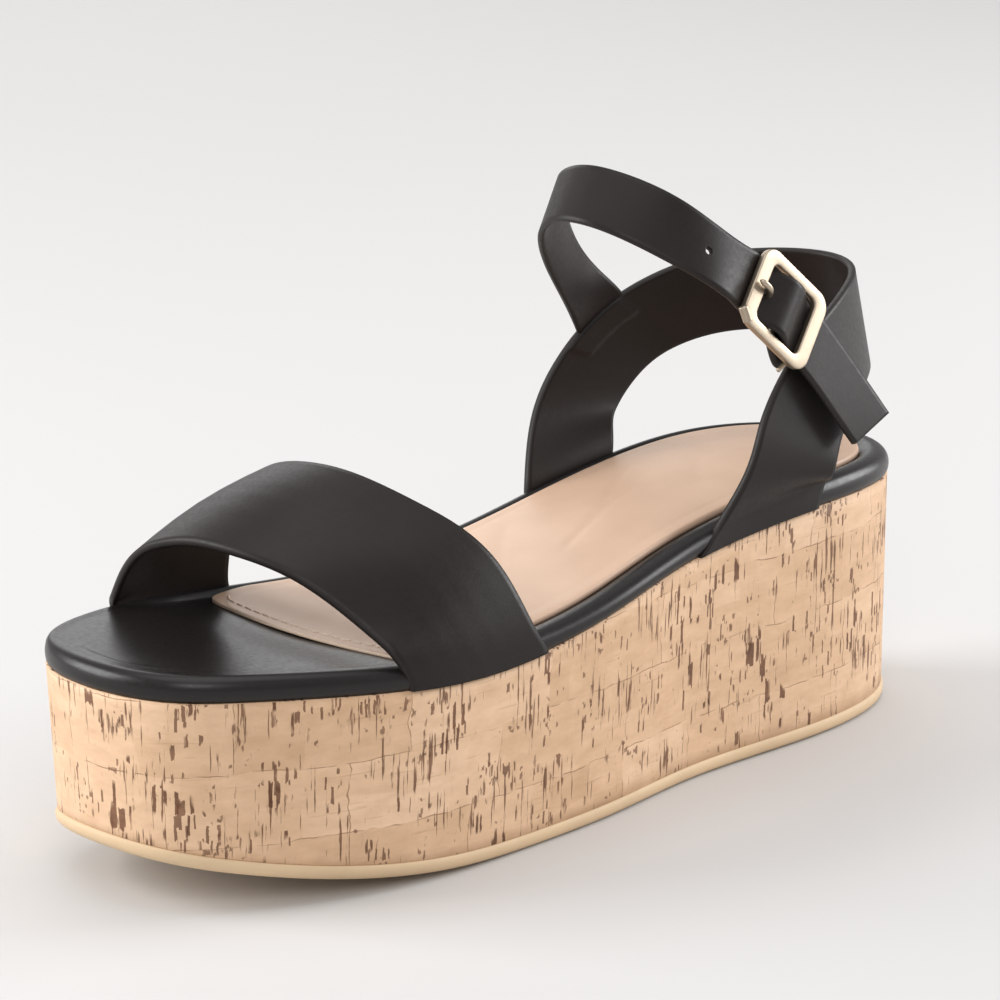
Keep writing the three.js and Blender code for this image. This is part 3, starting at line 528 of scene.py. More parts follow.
def cork_material():
    """Blocks of veneer with upright brown marks. The wall's map is length and height in metres."""
    material, tree, shader = new_material("cork_veneer")
    flat = node(tree, "ShaderNodeUVMap", uv_map=WALL_MAP).outputs["UV"]

    def field(frequency, detail, roughness=0.5, place=(0, 0, 0), output="Fac"):
        """Noise with a frequency per metre along the wall and one up it."""
        return noise(tree, mapped(tree, flat, (*frequency, 1), place), 1.0, detail, roughness, output)

    def wandering(frequency, reach):
        """The map pushed about by a noise, at most by reach."""
        push = field(frequency, 3, output="Color")
        return maths(tree, "MULTIPLY_ADD", push, (*reach, 0), flat, kind="ShaderNodeVectorMath")

    def bricks(vector, width, height, **pattern):
        """Rows of cells, each with a grey of its own."""
        return node(tree, "ShaderNodeTexBrick", Vector=vector, Scale=1.0, Brick_Width=width,
                    Row_Height=height, Bias=0.0, Color1=(0, 0, 0), Color2=(1, 1, 1), **pattern)

    def blocks(width, height, offset, joint):
        return bricks(bent, width, height, offset=offset, squash=0.62, squash_frequency=3,
                      Mortar_Size=joint, Mortar_Smooth=0.5, Mortar=(0.5, 0.5, 0.5))

    def grouped(amount, frequency, gain, place):
        """An amount raised and lowered by a broad noise, so that its marks stand in groups."""
        broad = field(frequency, 2, place=place)
        return maths(tree, "ADD", amount, maths(tree, "MULTIPLY_ADD", broad, gain, -gain / 2))

    def bars(width, height, threshold, place, groups, gain):
        """Upright bars: the cells of a fine brick pattern above a threshold."""
        cells = bricks(mapped(tree, frayed, (1, 1, 1), place), width, height, offset=0.43, squash=0.7,
                       squash_frequency=2, Mortar_Size=0.0).outputs["Color"]
        # A ramp's places end at 1, so the sum and its threshold are halved.
        halved = maths(tree, "MULTIPLY", grouped(cells, groups, gain, place), 0.5)
        return ramp(tree, halved, [(threshold / 2, 0.0), (threshold / 2 + 0.02, 1.0)])

    def flecks(frequency, groups, low, high, place, gain=0.34):
        """Marks where a stretched noise passes low."""
        streak = field(frequency, 3.5, 0.6, place)
        return ramp(tree, grouped(streak, groups, gain, place), [(low, 0.0), (high, 1.0)])

    bent = wandering((90, 110), reach=(0.0042, 0.0030))
    frayed = wandering((700, 420), reach=(0.0007, 0.0044))
    large = blocks(0.043, 0.0172, offset=0.37, joint=0.00016)
    small = blocks(0.0193, 0.0086, offset=0.61, joint=0.00012)
    tone = maths(tree, "MULTIPLY_ADD", large.outputs["Color"], 0.62,
                 maths(tree, "MULTIPLY", small.outputs["Color"], 0.38))
    block_tone = ramp(tree, tone, [
        (0.0, (0.650, 0.425, 0.262)), (0.45, (0.745, 0.502, 0.323)), (1.0, (0.825, 0.578, 0.391)),
    ])
    mottle = field((110, 230), 6, 0.62)
    mottle_tone = ramp(tree, mottle, [(0.28, (0.84, 0.79, 0.73)), (0.72, (1.12, 1.13, 1.14))])
    colour = blended(tree, 0.75, block_tone, mottle_tone, "MULTIPLY")

    # Width, height, threshold, place in the pattern, groups per metre, their strength
    long_bars = bars(0.00090, 0.0056, 1.060, (0.0311, 0.0127, 0), (62, 58), 1.7)
    short_bars = bars(0.00068, 0.0032, 1.050, (0.0173, 0.0091, 0), (80, 75), 1.6)
    dots = bars(0.00090, 0.0011, 1.060, (0.0237, 0.0053, 0), (95, 110), 1.2)
    # Marks and groups per metre, where a mark starts and is whole, place, strength of the groups
    streaks = flecks((1150, 60), (70, 66), 0.622, 0.655, (3.1, 7.7, 0), 0.50)
    patches = flecks((260, 82), (48, 52), 0.665, 0.695, (21.7, 5.1, 0), 0.46)
    cracks = flecks((50, 1150), (60, 60), 0.64, 0.71, (8.4, 4.2, 0))
    comb = ramp(tree, field((1500, 130), 2), [(0.42, 0.12), (0.55, 1.0)])
    broken = ramp(tree, field((130, 130), 2), [(0.42, 0.0), (0.55, 1.0)])
    patches = maths(tree, "MULTIPLY", patches, comb)
    joints = maths(tree, "MULTIPLY", large.outputs["Fac"], broken)
    brown = ramp(tree, mottle, [(0.3, (0.080, 0.026, 0.011)), (0.7, (0.200, 0.080, 0.036))])
    for amount, strength, dark in (
        (cracks, 0.30, (0.36, 0.195, 0.100)), (joints, 0.70, (0.25, 0.120, 0.060)), (dots, 0.72, brown),
        (patches, 0.80, brown), (streaks, 0.85, brown), (short_bars, 0.82, brown), (long_bars, 0.90, brown),
    ):
        colour = blended(tree, maths(tree, "MULTIPLY", amount, strength), colour, dark)
    set_values(tree, shader, Base_Color=colour, Roughness=0.60, Specular_IOR_Level=0.35)
    pits = maths(tree, "MAXIMUM", maths(tree, "MAXIMUM", streaks, long_bars), patches)
    level = maths(tree, "SUBTRACT", 1.0, pits)
    bump(tree, shader, [
        (level, 0.0004, 0.55), (mottle, 0.0004, 0.35), (large.outputs["Color"], 0.00008, 0.3),
    ])
    return material


def rubber_material():
    material, tree, shader = new_material("tan_rubber")
    place = object_place(tree)
    broad = noise(tree, place, 60, 4)
    fine = noise(tree, place, 1100, 3)
    set_values(
        tree, shader,
        Base_Color=ramp(tree, broad, [(0.3, (0.640, 0.465, 0.286)), (0.7, (0.715, 0.525, 0.328))]),
        Roughness=ramp(tree, fine, [(0.3, 0.52), (0.7, 0.66)]),
    )
    bump(tree, shader, [(fine, 0.00008, 0.4), (broad, 0.0004, 0.2)])
    return material


def gold_material():
    material, tree, shader = new_material("pale_gold")
    place = object_place(tree)
    broad = noise(tree, place, 160, 3)
    fine = noise(tree, mapped(tree, place, (300, 300, 900)), 1.0, 2)
    set_values(
        tree, shader, Metallic=1.0,
        Base_Color=ramp(tree, broad, [(0.3, (0.47, 0.390, 0.298)), (0.7, (0.51, 0.427, 0.330))]),
        Roughness=ramp(tree, fine, [(0.3, 0.40), (0.7, 0.45)]),
    )
    bump(tree, shader, [(fine, 0.000003, 0.1)])
    return material


cork = cork_material()
rubber = rubber_material()
gold = gold_material()

# Outsole: a strip with a rounded edge. A row is how far out, in mm, and the share of its thickness.
EDGE_PROFILE = [
    (-1.4, 0.0), (-0.35, 0.06), (0.15, 0.18), (0.48, 0.38),
    (0.50, 0.62), (0.36, 0.82), (0.02, 0.95), (-0.5, 1.0),
]
outsole_rings = [
    wall_ring(1, lip, lambda x, up=up: underside(x) + OUTSOLE_THICKNESS * up) for lip, up in EDGE_PROFILE
]
points, faces, _ = stacked(outsole_rings, bottom_steps=8)
add_piece(mesh_object("outsole_strip", points, faces, [rubber]), "outsole", "outsole")

# Cork-covered platform. The seam of its wall's map is on the inner side.
WALL_LEVELS = 16
SEAM_COLUMN = int(COUNT * 0.79)
BASE_INSET = 0.8
BASE_DROP = 0.2


def footbed_base(x):
    return top_height(x) + CLEARANCE


def platform_base(x):
    return underside(x) + OUTSOLE_THICKNESS


def add_wall_map(piece, side_count, ring):
    """A UV map in metres: length round the wall from its seam, and height."""
    lengths = travelled(np.concatenate([ring[:, :2], ring[:1, :2]]))
    mesh = piece.data
    corners = []
    for polygon in mesh.polygons:
        indices = [mesh.loops[i].vertex_index for i in polygon.loop_indices]
        columns = [i % COUNT for i in indices]
        first = min(columns) if max(columns) == min(columns) + 1 else COUNT - 1
        for i, column in zip(indices, columns):
            place = mesh.vertices[i].co
            if polygon.index >= side_count:
                corners.append((place.x, place.y))
                continue
            along = lengths[first + (column != first)] - lengths[SEAM_COLUMN]
            if first < SEAM_COLUMN:
                along += lengths[COUNT]
            corners.append((along * MM, place.z))
    layer = mesh.uv_layers.new(name=WALL_MAP)
    layer.data.foreach_set("uv", np.asarray(corners, np.float32).ravel())


wall_rings = [
    wall_ring(1 - level, 0, lambda x, level=level: mix(platform_base(x), footbed_base(x), level))
    for level in np.linspace(0, 1, WALL_LEVELS + 1)
]
inner_bottom = wall_ring(1, -BASE_INSET, lambda x: platform_base(x) - BASE_DROP)
points, faces, side_count = stacked([inner_bottom, *wall_rings])
platform = mesh_object("platform_cork", points, faces, [cork])
add_wall_map(platform, side_count, wall_rings[-1])
add_piece(platform, "platform", "platform")

# Footbed: a padded black cover rolled over the edge. Ahead of the insole its rim is nearly level.
crease_up = RIM_ROWS[-1][1]
rim_curve = Spline(travelled([(RIM_WIDTH * out, RIM_HEIGHT * up) for out, up in RIM_ROWS]), RIM_ROWS)
LEVEL_PLACE = (0.77, 0.84)
LEVEL_UP = 0.96
LEVEL_RANGE = (0.2, 0.36)
FALL_RANGE = (0.30, 1.0)
RIM_STEPS = 22
RIM_WIDEST = 0.06
RIM_FOOT_OUT = -0.25
RIM_FOOT_DROP = 0.1
DISH = 0.8
rim_profile = rim_curve(np.linspace(0, rim_curve.knots[-1], RIM_STEPS + 1))


def rim_offset(out):
    return RIM_OVERHANG + RIM_WIDTH * (out - RIM_WIDEST)


def rim_up(x, out, up):
    """Height share of the rim. Ahead of the insole its inner part stays level with its top."""
    level = smoothstep(along_at(x), *LEVEL_PLACE) * smoothstep(-out, *LEVEL_RANGE)
    return mix(up, 1 - (1 - LEVEL_UP) * smoothstep(-out, *FALL_RANGE), level)


def dish(x, y, share):
    return -DISH * np.sin(math.pi * share) ** 2


footbed_rings = [rim_ring(rim_offset(RIM_FOOT_OUT), lambda x: footbed_base(x) - RIM_FOOT_DROP)]
footbed_rings += [
    rim_ring(rim_offset(out), lambda x, out=out, up=up: footbed_base(x) + rim_up(x, out, up) * rim_height(x))
    for out, up in rim_profile
]
points, faces, _ = stacked(footbed_rings, top_steps=24, lift=dish)
footbed = add_piece(mesh_object("footbed_cover", points, faces, [rim_leather]), "footbed", "footbed")

# Insole: the pale sock leather
FRONT_STEPS = 24


def insole_plan(offset):
    """Plan points from the heel along the outer side, over the front and back along the inner side."""
    sides = []
    for side, front in ((1, INSOLE_FRONT_OUTER), (-1, INSOLE_FRONT_INNER)):
        shares = np.linspace(0, float(share_for(side, front)), HALF + 1)
        sides.append(inset(side, shares, offset))
    outer, inner = sides
    shares = np.arange(1, FRONT_STEPS) / FRONT_STEPS
    front = outer[-1] + (inner[-1] - outer[-1]) * shares[:, None]
    front[:, 0] += INSOLE_BOW * np.sin(math.pi * shares)
    plan = np.concatenate([outer, front, inner[::-1][:-1]])
    return rounded_corner(plan, HALF + FRONT_STEPS, INSOLE_CORNER)


def rounded_corner(plan, corner, reach):
    """The plan with one corner drawn into a curve that starts and ends at reach from it."""
    away = travelled(plan)
    away -= away[corner]
    start, end = ([np.interp(at, away, plan[:, k]) for k in (0, 1)] for at in (-reach, reach))
    share = np.clip((away + reach) / (2 * reach), 0, 1)[:, None]
    curve = (1 - share) ** 2 * start + 2 * share * (1 - share) * plan[corner] + share ** 2 * end
    return np.where((np.abs(away) < reach)[:, None], curve, plan)


def insole_base(x):
    return footbed_base(x) + crease_up * rim_height(x) + CLEARANCE


def heel_share(x):
    return 1 - smoothstep(along_at(x), *WAIST)


# Shallow creases across the sock near the waist: place along and out in mm, length, turn, depth
CREASES = [
    (-22, 6, 26, 0.35, 0.36), (-34, 1, 19, 0.22, 0.28), (-46, -8, 22, 0.55, 0.24),
    (24, 10, 22, -0.2, 0.20), (-6, -6, 24, 0.75, 0.22), (8, 4, 18, 1.15, 0.20),
    (38, -6, 20, 1.35, 0.20), (-62, 4, 18, 0.9, 0.18),
]
CREASE_BOW = 0.004
CREASE_WIDTH = 1.1
FRONT_START = 0.700
FRONT_DROP = 0.7
FRONT_HALF_WIDTH = 36
FRONT_THINNING = 0.6
THIN_END = 0.745
GROOVE_DEPTH = 0.16
GROOVE_INSET = 3.2
GROOVE_WIDTH = 0.7
SOCK_SPAN = 60


def crease_depth(x, y):
    depth = 0 * x
    for centre_x, centre_y, length, turn, deep in CREASES:
        along = (x - centre_x) * math.cos(turn) + (y - centre_y) * math.sin(turn)
        away = -(x - centre_x) * math.sin(turn) + (y - centre_y) * math.cos(turn) - CREASE_BOW * along ** 2
        ends = np.exp(-(along / (length / 2)) ** 4)
        depth = depth + deep * ends * np.exp(-(away / CREASE_WIDTH) ** 2)
    return depth


def front_drop(x, y):
    """How far the sock dips with the footbed's middle towards its front edge."""
    middle = np.clip(1 - ((y - 1) / FRONT_HALF_WIDTH) ** 2, 0, 1)
    return FRONT_DROP * smoothstep(along_at(x), FRONT_START, INSOLE_FRONT_OUTER) * middle


def sock_lift(x, y, share):
    """Height of the sock's inside over a straight line between its edges."""
    ends = [front_drop(2 * x[a] - x[b], 2 * y[a] - y[b]) for a, b in ((0, 1), (-1, -2))]
    dip = front_drop(x, y) - mix(ends[0], ends[1], share)
    crown = INSOLE_CROWN * heel_share(x) * np.sin(math.pi * share) - dip
    from_edge = np.minimum(share, 1 - share) * SOCK_SPAN
    groove = -GROOVE_DEPTH * np.exp(-((from_edge - GROOVE_INSET) / GROOVE_WIDTH) ** 2)
    return crown - crease_depth(x, y) + groove


def sock_thickness(x):
    """The sock thins towards its front edge."""
    return INSOLE_THICKNESS * (1 - FRONT_THINNING * smoothstep(along_at(x), FRONT_START, THIN_END))


def sock_height(plan, up=1.0):
    """Height at plan points of a share of the sock's thickness."""
    x, y = plan.T
    return insole_base(x) + sock_thickness(x) * up - front_drop(x, y)


# The sock's edge: how far out in mm, and the share of its thickness
SOCK_PROFILE = [(0.1, -0.22), (0.22, 0.3), (0.16, 0.6), (-0.05, 0.84), (-0.4, 0.96), (-0.9, 1.0)]
sock_offset = rim_offset(-1.0) - CLEARANCE
insole_rings = []
for out, up in SOCK_PROFILE:
    plan = insole_plan(sock_offset + out)
    insole_rings.append(raised(plan, sock_height(plan, up)))
points, faces, side_count = stacked(insole_rings, top_steps=56, lift=sock_lift)
ring_count = len(insole_rings[0])
# The sock's front side faces take the piping colour, which is partly a painted highlight on the front edge.
piping_highlight_faces = [i < side_count and HALF <= i % ring_count < HALF + FRONT_STEPS for i in range(len(faces))]
insole = mesh_object("insole_sock", points, faces, [sock_leather, piping_and_highlight_leather], piping_highlight_faces)
add_piece(insole, "insole", "insole")


# Straps
class StrapSurface:
    """A surface through rows of points, each running from the front edge to the rear edge."""

    def __init__(self, rows):
        rows = np.asarray(rows, float)
        middle = rows.shape[1] // 2
        self.knots = travelled(rows[:, middle])
        self.curve = Spline(self.knots, rows.reshape(len(rows), -1))
        self.columns = rows.shape[1] - 1

    def __call__(self, share, across):
        share = np.atleast_1d(np.asarray(share, float))
        across = np.broadcast_to(np.atleast_1d(np.asarray(across, float)), share.shape)
        values = self.curve(share * self.knots[-1]).reshape(len(share), -1, 3)
        column = np.clip(np.floor(across * self.columns).astype(int), 0, self.columns - 1)
        part = (across * self.columns - column)[:, None]
        index = np.arange(len(share))
        return values[index, column] * (1 - part) + values[index, column + 1] * part

    def normal(self, share, across):
        share = np.atleast_1d(np.asarray(share, float))
        small = 0.002
        lengthwise = self(share + small, across) - self(share - small, across)
        widthwise = self(share, np.ones_like(share)) - self(share, np.zeros_like(share))
        return unit(np.cross(lengthwise, widthwise))

    def width(self, share):
        one = np.ones_like(np.atleast_1d(share))
        return np.linalg.norm(self(share, one) - self(share, 0 * one), axis=1)


ACROSS = np.linspace(0, 1, 7)


def foot_rows(side, table, thickness):
    """Rows where a strap goes down along the footbed's rim."""
    rows = []
    for up, (front, rear) in zip(FOOT_HEIGHTS, table):
        points = []
        for share in ACROSS:
            plan = edge_point(side, mix(front, rear, share), FOOT_PROUD - thickness / 2)[0]
            height = footbed_base(plan[:1])[0] + up * rim_height(plan[:1])[0]
            points.append((*plan, height))
        rows.append(points)
    return rows


def straight_row(front, rear, bulge=(0, 0, 0)):
    front, rear, bulge = (np.asarray(v, float) for v in (front, rear, bulge))
    return [front + (rear - front) * share + bulge * math.sin(math.pi * share) for share in ACROSS]


def edged_rows(table, width, base_at, rise, crown=0.0):
    """Rows from a front edge to a rear edge, whose middle stands out by crown."""
    rows = []
    for row in table:
        front, rear = (
            np.array([x_at(along), out * width, base_at(x_at(along)) + up * rise])
            for along, out, up in (row[:3], row[3:])
        )
        centre = (front + rear) / 2
        outward = unit([0, centre[1], centre[2] - base_at(centre[0])])
        rows.append(straight_row(front, rear, outward * crown))
    return rows


band_base = float(top_height(x_at(0))[0])
toe_strap_shape = StrapSurface([
    *foot_rows(1, TOE_STRAP_OUTER_FOOT, TOE_STRAP_THICKNESS),
    *edged_rows(
        TOE_STRAP_ROWS, BALL_WIDTH / 2, lambda x: top_height(x)[0], TOE_STRAP_RISE, TOE_STRAP_CROWN),
    *foot_rows(-1, TOE_STRAP_INNER_FOOT, TOE_STRAP_THICKNESS)[::-1],
])
band_shape = StrapSurface([
    *foot_rows(-1, BAND_INNER_FOOT, BAND_THICKNESS),
    *edged_rows(BAND_ROWS, HEEL_WIDTH, lambda x: band_base, BAND_RISE),
    *foot_rows(1, BAND_OUTER_FOOT, BAND_THICKNESS)[::-1],
])


def seam_row(near, far, deep):
    return list(band_shape(mix(near, far, ACROSS), np.full(len(ACROSS), deep)))


def ankle_centre(along, out, rise):
    return np.array([x_at(along), out * HEEL_WIDTH, band_base + rise * ANKLE_STRAP_RISE])


def lean_row(centre, lean):
    half = unit(lean) * ANKLE_STRAP_WIDTH / 2
    return straight_row(centre - half, centre + half)


before, after = ANKLE_ROWS[-1], BUCKLE_AIM
lengthwise = unit(ankle_centre(*after[:3]) - ankle_centre(*before[:3]))
outward = unit(np.cross(lengthwise, unit(before[3:]) + unit(after[3:])))
across_axis = np.cross(outward, lengthwise)
buckle_centre = ankle_centre(*BUCKLE_PLACE)


def in_buckle(u, v, n):
    return buckle_centre + lengthwise * u + across_axis * v + outward * n


eye_inner = CENTRE_BAR_RADIUS + CLEARANCE
eye_outer = eye_inner + TAB_THICKNESS
over_bar = eye_outer - CENTRE_BAR_DROP + CLEARANCE + ANKLE_STRAP_THICKNESS / 2
under_bars = -(BUCKLE_THICKNESS / 2 + CLEARANCE + ANKLE_STRAP_THICKNESS / 2)
bar_near = BUCKLE_INNER_LENGTH / 2
bar_far = BUCKLE_LENGTH / 2


def ankle_surface():
    """The ankle strap, which dips under the frame's bars and rises over its centre bar."""
    under = [(u, under_bars) for u in (-bar_far, -bar_near, bar_near, bar_far)]
    wave = [*under[:2], (0, over_bar), *under[2:]]
    rows = [seam_row(*row) for row in STRAP_SEAM]
    rows += [lean_row(ankle_centre(*row[:3]), row[3:]) for row in ANKLE_ROWS]
    rows += [lean_row(in_buckle(u, 0, n), across_axis) for u, n in wave]
    rows += [lean_row(ankle_centre(*row[:3]), row[3:]) for row in TAIL_ROWS]
    return StrapSurface(rows)


def tab_surface():
    """The tab, from its seam in the band to the eye round the centre bar."""
    half = ANKLE_STRAP_WIDTH / 2
    under_strap = under_bars - ANKLE_STRAP_THICKNESS / 2 - CLEARANCE - TAB_THICKNESS
    under_bar = TAB_THICKNESS - CENTRE_BAR_DROP - eye_outer
    rows = [seam_row(*row) for row in TAB_SEAM]
    for u, v, n in ((bar_near, -TAB_SHIFT, under_strap), (0.5, 0, under_bar)):
        rows.append(straight_row(in_buckle(u, v - half, n), in_buckle(u, v + half, n)))
    return StrapSurface(rows)


ankle_shape = ankle_surface()
tab_shape = tab_surface()

EDGE_ROUND = 0.28
EDGE_STEPS = 3
EDGE_REACH = 0.8
strap_leathers = [black_leather, lining_leather, edge_leather]
OUTER, LINING, EDGE = range(3)


def strap_section(across_steps):
    """Steps round a strap's section: place across, height from -1 to 1, whether on a rounded edge."""
    face = [j / across_steps for j in range(across_steps + 1)]
    turn = [math.cos(math.pi * k / EDGE_STEPS) for k in range(1, EDGE_STEPS)]
    return [
        *((place, 1.0, False) for place in face),
        *((1.0, height, True) for height in turn),
        *((place, -1.0, False) for place in face[::-1]),
        *((0.0, -height, True) for height in turn),
    ]


def strap_mesh(name, surface, thickness, steps, across_steps, outside, start=0.0, push=None, pinch=None):
    """A wall about a strap's surface with small rounded edges. outside is a share of its length and
    the direction of its outer face there. push adds to either face, and pinch draws both edges in."""
    share, direction = outside
    outer_side = np.sign(surface.normal([share], [0.5])[0] @ np.asarray(direction, float))
    shares = np.linspace(start, 1, steps + 1)
    section = strap_section(across_steps)
    widths = surface.width(shares)
    drawn_in = 0 * shares if pinch is None else pinch(shares) / widths
    rows = []
    for place, height, on_edge in section:
        margin = drawn_in if on_edge else EDGE_ROUND / widths + drawn_in
        across = margin + place * (1 - 2 * margin)
        reach = 0 * shares + thickness / 2 * height * (EDGE_REACH if on_edge else 1)
        if push is not None and not on_edge:
            reach = reach + push(shares, np.full_like(shares, place), height) * height
        normal = surface.normal(shares, across) * outer_side
        rows.append(surface(shares, across) + normal * reach[:, None])
    points = np.stack(rows, axis=1).reshape(-1, 3)
    count = len(section)
    lining_first = across_steps + EDGE_STEPS
    lining_last = lining_first + across_steps
    around = [OUTER] * across_steps + [EDGE] * EDGE_STEPS + [LINING] * across_steps + [EDGE] * EDGE_STEPS
    faces = ring_faces(steps + 1, count)
    for near in (0, steps * count):
        for j in range(across_steps):
            faces.append((near + j, near + j + 1, near + lining_last - j - 1, near + lining_last - j))
        faces.append([near + k for k in range(across_steps, lining_first + 1)])
        faces.append([near + k for k in (*range(lining_last, count), 0)])
    indices = around * steps
    indices += [EDGE] * (len(faces) - len(indices))
    return mesh_object(name, points, faces, strap_leathers, indices)


PATCH_HEIGHT = 0.6
PINCH = 0.4
PINCH_START = 10.8
PINCH_WHOLE = 8.4


def patch_push(shares, across, height):
    """A low raised patch in the band's lining over the sewn end of the ankle strap."""
    if height > 0:
        return 0 * shares
    near, far, deep = STRAP_SEAM[0]
    inside = smoothstep(shares, near - 0.003, near) * (1 - smoothstep(shares, far + 0.004, far + 0.008))
    return PATCH_HEIGHT * inside * (1 - smoothstep(across, deep - 0.01, deep + 0.02))


def buckle_pinch(shares):
    """How far the strap's edges are drawn in where it runs through the frame."""
    away = np.linalg.norm(ankle_shape(shares, 0.5 + 0 * shares) - buckle_centre, axis=1)
    return PINCH * (1 - smoothstep(away, PINCH_WHOLE, PINCH_START))


toe_strap = strap_mesh(
    "toe_strap_leather", toe_strap_shape, TOE_STRAP_THICKNESS, 150, 26, (0.5, (0, 0, 1)))
band = strap_mesh(
    "heel_band_leather", band_shape, BAND_THICKNESS, 280, 30, (0.5, (-1, 0, 0)), push=patch_push)
ankle = strap_mesh(
    "ankle_strap_leather", ankle_shape, ANKLE_STRAP_THICKNESS, 320, 14, (0.6, outward),
    start=0.015, pinch=buckle_pinch)
tab = strap_mesh("buckle_tab_leather", tab_shape, 2 * TAB_THICKNESS, 60, 14, (0.9, outward), start=0.03)
for piece, *nodes in ((toe_strap, "toe_strap"), (band, "heel_and_ankle_strap"), (ankle,), (tab,)):
    add_piece(piece, "straps", *nodes)


# Buckle
def rounded_rectangle(length, width, radius, steps=10):
    points = []
    for corner, (sx, sy) in enumerate(((1, -1), (1, 1), (-1, 1), (-1, -1))):
        for k in range(steps + 1):
            angle = math.pi / 2 * (corner - 1 + k / steps)
            points.append((sx * (length / 2 - radius) + radius * math.cos(angle),
                           sy * (width / 2 - radius) + radius * math.sin(angle)))
    return np.array(points)


inner_width = ANKLE_STRAP_WIDTH + 2 * CLEARANCE
outer_width = inner_width + 2 * SIDE_BAR_WIDTH
QUARTER_STEPS = 4


def frame_section():
    """Places across a bar as (share of its width, mm in from there, height), with small rounded edges."""
    section = []
    half = BUCKLE_THICKNESS / 2
    for share, height, start in ((1, 1, 0), (0, 1, 1), (0, -1, 2), (1, -1, 3)):
        for k in range(QUARTER_STEPS + 1):
            angle = math.pi / 2 * (start + k / QUARTER_STEPS)
            inward = (1 - abs(math.cos(angle))) * BUCKLE_BEVEL * (1 if share == 0 else -1)
            section.append((share, inward, height * (half - (1 - abs(math.sin(angle))) * BUCKLE_BEVEL)))
    return section


def buckle_frame():
    """A flat frame with small rounded edges."""
    outer = rounded_rectangle(BUCKLE_LENGTH, outer_width, BUCKLE_CORNER)
    inner = rounded_rectangle(BUCKLE_INNER_LENGTH, inner_width - 2 * WIDE_BAR, BUCKLE_INNER_CORNER)
    over = unit(outer - inner)
    section = frame_section()
    points = []
    for share, inward, height in section:
        ring = inner + (outer - inner) * share + over * inward
        points += [in_buckle(u, v, height) for u, v in ring]
    return np.array(points), ring_faces(len(section), len(outer), closed=True)


def tube(line, radii, sides=14):
    """A round rod along a line of points, with a radius at each point and flat ends."""
    line = np.asarray(line, float)
    tangents = unit(np.gradient(line, axis=0))
    side = unit(np.cross(tangents[0], across_axis + 0.01 * outward))
    points = []
    for place, tangent, radius in zip(line, tangents, radii):
        side = unit(side - tangent * (side @ tangent))
        other = np.cross(tangent, side)
        for k in range(sides):
            angle = 2 * math.pi * k / sides
            points.append(place + radius * (side * math.cos(angle) + other * math.sin(angle)))
    faces = ring_faces(len(line), sides)
    faces.append(list(range(sides)))
    faces.append(list(range(len(points) - sides, len(points))))
    return np.array(points), faces


def joined(parts):
    """Points and faces of several bodies as one list each."""
    points, faces, total = [], [], 0
    for part_points, part_faces in parts:
        points.append(part_points)
        faces += [[i + total for i in face] for face in part_faces]
        total += len(part_points)
    return np.concatenate(points), faces


CAP_SHARE = 0.06


def rod_between(start, end, radius):
    """A rod that is domed over the first and the last CAP_SHARE of its length."""
    shares = np.concatenate([[0, 0.02, CAP_SHARE], np.linspace(0.12, 0.88, 6), [1 - CAP_SHARE, 0.98, 1]])
    start, end = np.asarray(start, float), np.asarray(end, float)
    caps = np.minimum(1, np.sqrt(np.minimum(shares, 1 - shares) / CAP_SHARE + 0.12))
    return tube(start + (end - start) * shares[:, None], radius * caps)


# Rods of the buckle, from end to end in the frame's own directions: centre bar, knob and pin
bar_half = (inner_width + SIDE_BAR_WIDTH) / 2
RODS = [
    ((0, -bar_half, -CENTRE_BAR_DROP), (0, bar_half, -CENTRE_BAR_DROP), CENTRE_BAR_RADIUS),
    ((-13.1, -8.0, 0.6), (-9.6, -10.4, 0.6), 1.2),
    ((8.2, -9.0, -1.2), (6.6, -13.0, -1.6), 0.6),
]
rods = [rod_between(in_buckle(*near), in_buckle(*far), radius) for near, far, radius in RODS]
points, faces = joined([buckle_frame(), *rods])
add_piece(mesh_object("buckle_frame_gold", points, faces, [gold]), "buckle", "buckle")

# The prong's line from its eye to its tip on the front bar: place along and height in the frame
prong_rest = BUCKLE_THICKNESS / 2 + CLEARANCE + PRONG_RADIUS
PRONG_LINE = [
    (0, -CENTRE_BAR_DROP - eye_inner + 0.2),
    (-3.2, -CENTRE_BAR_DROP - eye_inner - 0.2),
    (-5.6, -0.6),
    (-bar_near, prong_rest),
    (-bar_far + 0.6, prong_rest - 0.1),
]
EYE_WALL = 0.5
EYE_PROFILE = (0.85, 1, 1, 1, 1, 0.85)
PRONG_STEPS = 29
prong_curve = Spline(travelled(PRONG_LINE), PRONG_LINE)
prong_shares = np.linspace(0, 1, PRONG_STEPS + 1)
prong_line = [in_buckle(u, 0, n) for u, n in prong_curve(prong_shares * prong_curve.knots[-1])]
prong_radii = PRONG_RADIUS * np.minimum(1, 0.35 + 2.2 * np.sqrt(np.maximum(0, 1 - prong_shares)))
eye_places = np.linspace(-PRONG_EYE_WIDTH / 2, PRONG_EYE_WIDTH / 2, len(EYE_PROFILE))
eye_line = [in_buckle(0, v, -CENTRE_BAR_DROP) for v in eye_places]
eye = tube(eye_line, [(eye_inner + EYE_WALL) * share for share in EYE_PROFILE], 20)
points, faces = joined([tube(prong_line, prong_radii), eye])
add_piece(mesh_object("buckle_prong_gold", points, faces, [gold]), "buckle", "buckle_prong")

